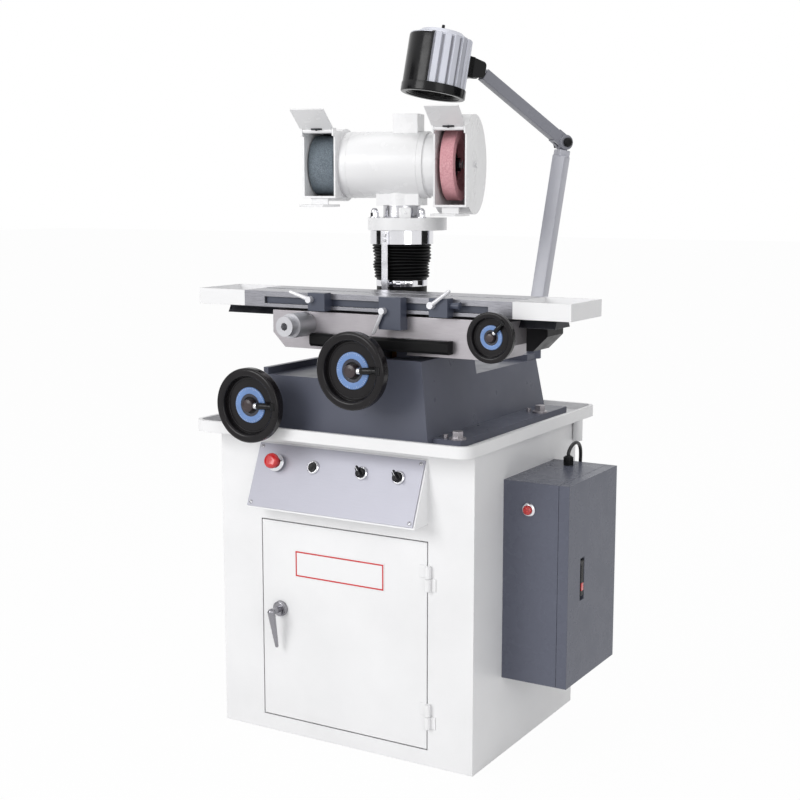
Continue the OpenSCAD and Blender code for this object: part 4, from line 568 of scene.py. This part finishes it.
WHEELS = [("elevation", 160, wheel_at(-165, -342, 760), "lift_wheel", "lift_handle", 2),
          ("cross", 160, wheel_at(95, -347, 851), "cross_wheel", "cross_handle", 4),
          ("table", 100, wheel_at(384, -308, 929.5), "table_wheel", "table_handle", 48)]
NUT_Z, DIAL_T, DIAL_DEPTH = 0.0625, 0.012, 0.0122  # shares of the wheel's diameter, as are the factors of d
MARKS, LONG_EVERY = 50, 5
for name, d, at, body, handle, angle in WHEELS:
    nut = d * NUT_Z
    face = d * (NUT_Z + DIAL_T)
    r0, mid, r1 = d * 0.11, d * 0.152, d * 0.238
    t = d * 0.004
    ring = fillet([(mid, face - 0.4), (mid, face + t, 0.3), (r1 - 0.6, face + t, 0.5), (r1 + 0.4, face - 1.2, 0.3),
                   (r1 + 0.4, face - d * DIAL_DEPTH)], False, 3) + [(mid, face - d * DIAL_DEPTH)]
    piece(name + "_dial", lathe(ring, 96, True), "dial_blue", body, at=at)
    inner = fillet([(r0 - 0.3, face - 0.8), (r0 + 0.3, face + 0.2, 0.3), (mid - 0.1, face + t * 0.4),
                    (mid - 0.1, face - 0.8)], False, 3)
    piece(name + "_dial_hub", lathe(inner, 96, True), "dial_navy", body, at=at)
    marks = []
    for k in range(MARKS):
        long = 0.017 if k % LONG_EVERY else 0.030
        marks.append((soft_box(d * long, d * 0.0032, 0.25, 0.05, 1),
                      turn("Z", 360 / MARKS * k) @ move(r1 - d * (0.006 + long / 2), 0, face + t - 0.1)))
    piece(name + "_dial_marks", merged(*marks), "mark_white", body, at=at)
    rn = d * 0.08
    dome = [(0, nut + rn + d * 0.014), (rn * 0.5, nut + rn + d * 0.013, 1.0),
            (rn * 1.05, nut + rn + d * 0.004, rn * 0.12), (rn * 1.05, nut + 0.4), (rn * 0.9, nut + 0.1)]
    piece(name + "_hub_nut", turned(dome, 48), "hub_dark", body, at=at)
    grip = d * 0.082
    handle_at = at @ turn("Z", angle) @ move(d * 0.13, 0, d * 0.125) @ turn("Y", 90)
    ferrule = [(0, -grip * 0.52), (grip * 0.3, -grip * 0.5, 0.8), (grip * 0.53, -grip * 0.22, 1.0),
               (grip * 0.53, grip * 0.28, 0.4), (grip * 0.47, grip * 0.3)]
    piece(name + "_handle_ferrule", turned(ferrule, 32, steps=4), "chrome", handle, at=handle_at)
    sleeve = [(0, d * 0.01), (grip * 0.5, d * 0.012, 1.2), (grip * 0.57, d * 0.075, 20), (grip * 0.54, d * 0.15, 20),
              (grip * 0.42, d * 0.205, 3), (grip * 0.34, d * 0.212), (0, d * 0.213)]
    piece(name + "_handle_sleeve", turned(sleeve, 40, steps=6), "grip_black", handle, at=handle_at)
    bead = fillet([(d * 0.345, nut + 0.1), (d * 0.35, nut + 1.3, 0.5), (d * 0.372, nut + 1.3, 0.5),
                   (d * 0.378, nut + 0.1)], False, 3)
    piece(name + "_wheel_bead", lathe(bead, 96, True), "wheel_black", body, at=at)


# Control panel: bezels, screws, mushroom, button, selectors
FRONT_Y = -254.5
PANEL_RUN, PANEL_RISE, PANEL_TOP, PLATE_T = 58, 138, 664, 3
SLOPE = math.hypot(PANEL_RUN, PANEL_RISE)
TILT = math.degrees(math.atan2(PANEL_RUN, PANEL_RISE))
PANEL = move(0, FRONT_Y, PANEL_TOP) @ turn("X", 90 - TILT)
SWITCH = -SLOPE * 0.31
ESTOP_X, START_X, LEFT_X, RIGHT_X = -152, -58, 64, 154
SCREW_X, SCREW_IN = 200, 12


def on_panel(x, y=SWITCH):
    return PANEL @ move(x, y, PLATE_T)


bezel = turned([(9.6, -6), (9.6, 4.6, 0.5), (11.8, 5.6, 0.8), (14.6, 3.2, 1.2), (15.2, 0.0), (11, 0), (11, -6)],
               56, True, 4)
piece("switch_rings", merged(*[(bezel, on_panel(x)) for x in (ESTOP_X, START_X, LEFT_X, RIGHT_X)]), "chrome", "frame",
      replaces=("switch_bezels",))
collar = [(10.2, 4.0), (19.6, 4.0, 1.0), (19.6, 7.2, 1.2), (13.0, 10.4, 1.0), (10.2, 10.4)]
piece("estop_collar", turned(collar, 56, True, 4), "chrome", "frame", at=on_panel(ESTOP_X))
screw = turned([(0, 2.2), (2.2, 2.2, 0.6), (4.6, 0.9, 0.8), (4.6, 0), (0, 0)], 32)
# Dark crosses on the screw heads stand in for their recesses: painted shade
cross = merged((soft_box(5.2, 1.1, 0.5, 0.1, 1), move(0, 0, 1.9)), (soft_box(1.1, 5.2, 0.5, 0.1, 1), move(0, 0, 1.9)))
corners = [on_panel(x, y) for x in (-SCREW_X, SCREW_X) for y in (-SCREW_IN, -SLOPE + SCREW_IN)]
corners = [at @ turn("Z", 23 * i) for i, at in enumerate(corners)]
piece("panel_screws", merged(*[(screw, at) for at in corners]), "bright_steel", "frame")
piece("panel_screw_recess_shade", merged(*[(cross, at) for at in corners]), "dark_steel", "frame")

mushroom = [(0, 33.0), (9, 32.8, 4), (14.8, 31.4, 4), (17.0, 27.0, 2.0), (17.0, 22.0, 1.5), (14.0, 17.5, 2.0),
            (9.0, 17.0, 1.0), (9.0, -8), (0, -8)]
piece("estop_mushroom", turned(mushroom, 64, steps=6), "red_plastic", "estop", at=on_panel(ESTOP_X),
      replaces=("estop_button",))
button = [(0, 8.6), (6.5, 9.6, 2), (9.0, 9.6, 1.4), (9.0, -5), (0, -5)]
piece("start_cap", turned(button, 48), "black_plastic", "start", at=on_panel(START_X),
      replaces=("start_button",))
knob = turned([(0, 10.6), (8, 10.6, 0.8), (10.9, 9.8, 1.2), (11.5, 5.6, 0.4), (9.0, 5.4), (9.0, -8), (0, -8)],
              56, steps=4)
wing = merged((soft_box(7.2, 23.0, 13.0, 2.0), move(0, 0, 5.6)), (soft_box(5.4, 7.0, 6.5, 1.6), move(0, 13.0, 7.5)))
for name, x in (("left", LEFT_X), ("right", RIGHT_X)):
    at = on_panel(x) @ turn("Z", 40)
    piece("selector_%s_knob" % name, merged((knob, I4), (wing, I4)), "black_plastic", "selector_" + name[0],
          at=at, replaces=("selector_" + name,))
    piece("selector_%s_line" % name, soft_box(1.4, 12.5, 0.5, 0.2, 1), "mark_white", "selector_" + name[0],
          at=at @ move(0, 7.5, 18.3))

# Cabinet door: blank plate with a red border, and the handle's rose
plate_at = move(-8.5, FRONT_Y, 397) @ turn("X", 90)
piece("door_plate", prism(rounded_rect(231, 62, 2, 3), 0, 0.8), "plate_white", "door", at=plate_at)


def border(w, h, t):
    """Flat frame of width t inside w by h, standing on z = 0."""
    thick = 0.35
    bars = []
    for s in (-1, 1):
        bars.append((soft_box(w, t, thick, 0.1, 1), move(0, s * (h - t) / 2, 0)))
        bars.append((soft_box(t, h - 2 * t, thick, 0.1, 1), move(s * (w - t) / 2, 0, 0)))
    return merged(*bars)


piece("door_plate_border", border(226, 57, 3.2), "border_red", "door", at=plate_at @ move(0, 0, 0.75))
rose = [(0, 9.2), (9, 9.2, 1.5), (14.5, 8.6, 2.2), (17.6, 4.0, 2.0), (17.6, 0.4), (0, 0.4)]
piece("door_handle_rose", turned(rose, 56, steps=4), "chrome_with_painted_reflection", "door_handle",
      at=move(-162, FRONT_Y - 0.5, 289) @ turn("X", 90))

# Electrical box: pilot lamp, the latch's red key and its ribs
pilot_at = move(379, -122, 551) @ turn("X", 90)
pilot_ring = [(10.2, 0), (15.2, 0, 0.5), (15.2, 3.0, 1.2), (12.0, 6.5, 1.2), (10.2, 6.5, 0.5)]
piece("pilot_ring", turned(pilot_ring, 56, True, 4), "chrome", "frame", at=pilot_at)
pilot_lens = [(0, 14.2), (5.5, 13.6, 3), (9.6, 10.8, 3), (10.3, 6.0, 0.5), (10.3, 0), (0, 0)]
piece("pilot_lens", turned(pilot_lens, 48, steps=6), "lens_red", "frame", at=pilot_at)
LATCH = move(470, -47, 397)
piece("latch_red_key", soft_box(1.6, 12.5, 17, 0.7), "red_plastic", "latch",
      at=LATCH @ move(0.2, 0, -26))
piece("latch_ribs", merged(*[(soft_box(1.0, 11, 1.4, 0.4, 2), move(0.1, 0, 2 + 5 * k)) for k in range(6)]),
      "black_plastic", "latch", at=LATCH)

# Wheelhead: acorn nuts, neck ring and pointer block on the swivel, screws on the left guard, motor seams and
# shield clips
HEAD_AT = COL @ turn("Z", 14)
DISC_TOP, SPINDLE_Z, MOTOR_R = 1148.3, 1267, 75.5
acorn = merged((turned([(0, 2.2), (12, 2.2, 0.6), (12, 0), (0, 0)], 40), I4),
               (prism(hexagon(10, 1.0, 2), 2.0, 11.0), I4),
               (turned([(0, 22.0), (4.5, 21.2, 3), (8.2, 16.0, 4), (8.6, 11.0, 1), (0, 10.8)], 40, steps=6), I4))
piece("swivel_nuts", merged(*[(acorn, turn("Z", a) @ move(64, 0, DISC_TOP)) for a in (-150, -30, 90)]),
      "chrome", "head", at=HEAD_AT)
neck = [(41.0, 1148.8), (43.2, 1148.8, 0.8), (43.2, 1154, 0.4), (42.7, 1155, 0.3), (42.7, 1175.4), (41.0, 1175.4)]
piece("swivel_neck", turned(neck, 96, True, 3), "bright_steel", "head", at=HEAD_AT)
rivet = turned([(0, 1.6), (2.6, 1.6, 0.5), (3.4, 0), (0, 0)], 24)
piece("swivel_pointer", merged((soft_box(25, 20, 23, 1.6), I4), (rivet, move(0, -10, 12) @ turn("X", 90))),
      "head_paint", "head", at=HEAD_AT @ turn("Z", -66) @ move(50, 0, 1148.2) @ turn("Z", 90))
SPIN = HEAD_AT @ move(0, 0, SPINDLE_Z) @ turn("Y", 90)
cap = turned([(0, 3.2), (2.4, 3.2, 0.8), (4.2, 1.6, 0.8), (4.2, 0), (0, 0)], 24)
piece("guard_screws",
      merged(*[(cap, turn("Z", 30 + 120 * k) @ move(60, 0, -210) @ turn("X", 180)) for k in range(3)]),
      "bright_steel", "head", at=SPIN)
seam = turned([(MOTOR_R - 0.9, -0.9), (MOTOR_R, -0.9, 0.4), (MOTOR_R, 0.9, 0.4), (MOTOR_R - 0.9, 0.9)], 96, True, 2)
piece("motor_seams", merged((seam, move(0, 0, -112)), (seam, move(0, 0, 52))), "head_paint", "head",
      at=SPIN)
clip = merged((soft_box(26, 2.2, 5, 0.8), move(0, -2.2, 7)),
              (turned([(0, 2.6), (3, 2.6, 0.8), (3.6, 0), (0, 0)], 24), move(0, -3.0, 10.5) @ turn("X", 90)))
for name, x, z in (("left", -171, 1342), ("right", 134, 1345)):
    piece(name + "_shield_clip", clip, "dark_steel", name + "_shield",
          at=HEAD_AT @ move(x, -88, z) @ turn("X", 59))

# Lamp: joint knobs, black front shell, rim and lip, fuller arm tubes, elbow, dark strips in the flutes for painted
# shade, knuckle cover, reflector, bulb
LOWER_TILT, UPPER_RISE, HEAD_PITCH = 9.3, 34.6, 10
POST_TOP, LOWER_LENGTH, UPPER_LENGTH = 50.3, 446, 278
LAMP = move(196, 285, 830) @ turn("Z", 235.6)
LOW = LAMP @ move(0, 0, POST_TOP) @ turn("Y", -LOWER_TILT)
ELBOW = LOW @ move(0, 0, LOWER_LENGTH) @ turn("Y", LOWER_TILT + 90 - UPPER_RISE)
KNUCKLE = ELBOW @ move(0, 0, UPPER_LENGTH) @ turn("Y", UPPER_RISE - 90 - HEAD_PITCH)
SHADE = KNUCKLE @ move(102, 0, -78)
lobes = [(13.3 + 1.5 * math.cos(math.radians(a * 6)), math.radians(a)) for a in range(0, 360, 5)]
star = [(r * math.cos(a), r * math.sin(a)) for r, a in lobes]
lamp_knob = merged((prism(star, 2.0, 14.6), I4), (turned([(0, 0), (9, 0), (9, 3), (0, 3)], 32), I4),
                   (turned([(0, 17.0), (6, 17.0, 1.5), (9, 14.0, 1), (0, 14.0)], 32), I4))
for name, at, body, lift in (("elbow", ELBOW, "lamp_up", 0.0), ("knuckle", KNUCKLE, "lamp_head", 3.3)):
    piece("lamp_%s_knob" % name, lamp_knob, "black_plastic", body,
          at=at @ move(0, -12.3 - lift, 0) @ turn("X", 90))
shell = fillet([(69.4, 17.5), (71.2, 17.5, 1.2), (71.2, 127.0, 6.0), (48.0, 134.5, 2.0), (48.0, 132.0),
                (69.4, 124.0)], True, 5)
piece("lamp_front_shell", lathe(shell, 48, True, (-50, 50)), "grip_black", "lamp_head", at=SHADE)
rim = [(60.4, -0.4), (62.0, -1.4, 0.6), (71.0, -1.4, 1.2), (72.6, 0.4, 0.8), (72.6, 18.7, 0.6), (69.6, 19.2, 0.4),
       (60.4, 19.0)]
piece("lamp_rim", turned(rim, 96, True, 4), "grip_black", "lamp_head", at=SHADE)
lip = [(54.0, 7.0), (57.0, 1.5, 1.5), (63.2, 0.2, 1.0), (63.2, 6.0), (60.0, 9.0)]
piece("lamp_lip", turned(lip, 96, True, 4), "grip_black", "lamp_head", at=SHADE)
low_tube = prism(rounded_rect(31.6, 31.6, 2, 4), 3, 414)
piece("lamp_low_tube", merged((low_tube, turn("Z", 34.4)), (soft_box(28, 29, 16, 2.0), move(0, 0, 412))),
      "arm_pale", "lamp_low", at=LOW)
piece("lamp_up_tube", prism(rounded_rect(26.8, 25, 2, 4), 17, 261), "arm_metal", "lamp_up", at=ELBOW)
drum = turned([(9, 4.4), (17.5, 4.4, 1.0), (17.5, 15.2, 2.0), (9, 15.6)], 56, True, 4)
piece("lamp_elbow_drum", merged((drum, turn("X", -90)), (drum, turn("X", 90))), "arm_metal", "lamp_up",
      at=ELBOW)
stud = [(0, 27.0), (6, 26.6, 2.5), (11, 23.0, 2.5), (11, 17.5, 2.0), (7, 15.2), (0, 15.2)]
piece("lamp_elbow_stud", turned(stud, 40), "black_plastic", "lamp_up", at=ELBOW @ turn("X", -90))
# Strips of the darker arm paint in the flutes' grooves: painted shade
flutes = [(soft_box(1.0, 4.2, 104, 0.3, 1), turn("Z", 18 * (k + 0.775)) @ move(66.2, 0, 20)) for k in range(3, 17)]
piece("lamp_flutes", merged(*flutes), "arm_metal", "lamp_head", at=SHADE)
cheek = fillet([(-12, -17, 9), (33, -24, 3), (33, 24, 3), (-12, 17, 9)], True, 6)
cover = merged((prism(cheek, 12.6, 15.8), turn("X", 90)), (prism(cheek, -15.8, -12.6), turn("X", 90)),
               (soft_box(16, 31.6, 47, 2.0), move(25, 0, -23.5)))
piece("lamp_knuckle_cover", cover, "grip_black", "lamp_head", at=KNUCKLE)
curve = [math.radians(a) for a in range(0, 86, 6)]
bowl = [(60.4, 4.0)] + [(60.2 * math.cos(a) ** 0.8, 6 + 96 * math.sin(a)) for a in curve] + [(9, 102)]
bowl += [(9, 103.5)] + [(r + 0.3 if r < 59 else 60.6, z + 1.2) for r, z in reversed(bowl[:-1])]
piece("lamp_reflector", lathe(bowl, 72, True), "reflector", "lamp_head", at=SHADE)
curve = [math.radians(a) for a in range(10, 131, 10)]
bulb = [(0, 22.0)] + [(27 * math.sin(a), 49 - 27 * math.cos(a)) for a in curve]
bulb += [(14.5, 78), (13.5, 84), (13.5, 103), (0, 103)]
piece("lamp_bulb", lathe(bulb, 48), "bulb_glass", "lamp_head", at=SHADE)
toggle = [(0, 16.2), (3.4, 15.6, 1.5), (3.6, 4, 0.5), (6.2, 3.2, 0.6), (6.2, -0.4), (0, -0.4)]
piece("lamp_toggle", turned(toggle, 24, steps=4), "black_plastic", "lamp_head",
      at=SHADE @ move(0, 0, 140))

# Slate lining of the table's front slot
piece("table_slot_lining", soft_box(539, 1.4, 14.6, 0.3, 1), "stop_paint", "table",
      at=move(81, -256.0, 969.2))


# Studio: pale floor, soft lights, white surroundings that only the camera and reflections see
WORLD_LIGHT, FLOOR_SHARE = 0.5, 0.97
FLOOR_GREY, FLAG_GREY = 0.86, 0.01


def seen_by(tree, *rays):
    """1 for these kinds of rays, 0 for the others."""
    path = tree.nodes.new("ShaderNodeLightPath")
    out = path.outputs[rays[0]]
    for ray in rays[1:]:
        either = tree.nodes.new("ShaderNodeMath")
        either.operation = "MAXIMUM"
        tree.links.new(out, either.inputs[0])
        tree.links.new(path.outputs[ray], either.inputs[1])
        out = either.outputs[0]
    return out


def shown_by(tree, share, first, second, output):
    """The second shader by that share, the first for the rest."""
    mix = tree.nodes.new("ShaderNodeMixShader")
    for source, socket in zip((share, first.outputs[0], second.outputs[0]), mix.inputs):
        tree.links.new(source, socket)
    tree.links.new(mix.outputs[0], tree.nodes.new(output).inputs["Surface"])


def shader(tree, kind, grey, strength=None):
    n = tree.nodes.new(kind)
    n.inputs["Color"].default_value = (grey, grey, grey, 1)
    if strength is not None:
        n.inputs["Strength"].default_value = strength
    return n


world = bpy.data.worlds.new("studio")
scene.world = world
world.use_nodes = True
wt = world.node_tree
wt.nodes.clear()
shown_by(wt, seen_by(wt, "Is Camera Ray", "Is Glossy Ray", "Is Transmission Ray"),
         shader(wt, "ShaderNodeBackground", 1, WORLD_LIGHT), shader(wt, "ShaderNodeBackground", 1, 1.0),
         "ShaderNodeOutputWorld")


def area(name, place, aim, size, power):
    light = bpy.data.lights.new(name, "AREA")
    light.shape = "RECTANGLE"
    light.size, light.size_y = size
    light.energy = power
    o = bpy.data.objects.new(name, light)
    o.location = place
    o.rotation_euler = (Vector(aim) - Vector(place)).to_track_quat("-Z", "Y").to_euler()
    scene.collection.objects.link(o)


area("key", (-1.5, -3.9, 2.4), (0, 0, 0.75), (2.2, 2.2), 86)
area("side", (2.9, -2.2, 1.7), (0, 0, 0.7), (1.6, 2.4), 22)
area("top", (0.0, 0.4, 4.0), (0, 0, 0.8), (2.4, 2.4), 24)


def plane(name, w, h, at, mat):
    x, y = w / 2, h / 2
    mesh = bpy.data.meshes.new(name)
    mesh.from_pydata([(-x, -y, 0), (x, -y, 0), (x, y, 0), (-x, y, 0)], [], [(0, 1, 2, 3)])
    mesh.materials.append(mat)
    o = bpy.data.objects.new(name, mesh)
    o.matrix_world = at
    scene.collection.objects.link(o)
    return o


floor_mat = bpy.data.materials.new("studio_floor")
floor_mat.use_nodes = True
ft = floor_mat.node_tree
ft.nodes.clear()
floor_share = ft.nodes.new("ShaderNodeMath")
floor_share.operation = "MULTIPLY"
floor_share.inputs[1].default_value = FLOOR_SHARE
ft.links.new(seen_by(ft, "Is Camera Ray", "Is Glossy Ray"), floor_share.inputs[0])
shown_by(ft, floor_share.outputs[0], shader(ft, "ShaderNodeBsdfDiffuse", FLOOR_GREY),
         shader(ft, "ShaderNodeEmission", 1), "ShaderNodeOutputMaterial")
plane("floor", 60, 60, move(0, 0, -0.0005), floor_mat)

# Dark flags that only reflections see, as beside a photographer's set
FLAG_AWAY, FLAG_UP, FLAG_H = 3.2, 1.3, 2.2
flag_mat = bpy.data.materials.new("studio_flag")
flag_mat.use_nodes = True
flag_shader = flag_mat.node_tree.nodes["Principled BSDF"]
flag_shader.inputs["Base Color"].default_value = (FLAG_GREY, FLAG_GREY, FLAG_GREY, 1)
flag_shader.inputs["Roughness"].default_value = 1.0
for name, az, width in (("flag_right", 36, 2.2), ("flag_left", 205, 1.3)):
    a = math.radians(az)
    at = move(FLAG_AWAY * math.cos(a), FLAG_AWAY * math.sin(a), FLAG_UP) @ turn("Z", az + 90) @ turn("X", 90)
    flag = plane(name, width, FLAG_H, at, flag_mat)
    flag.visible_camera = False
    flag.visible_diffuse = False
    flag.visible_shadow = False
    flag.visible_transmission = False
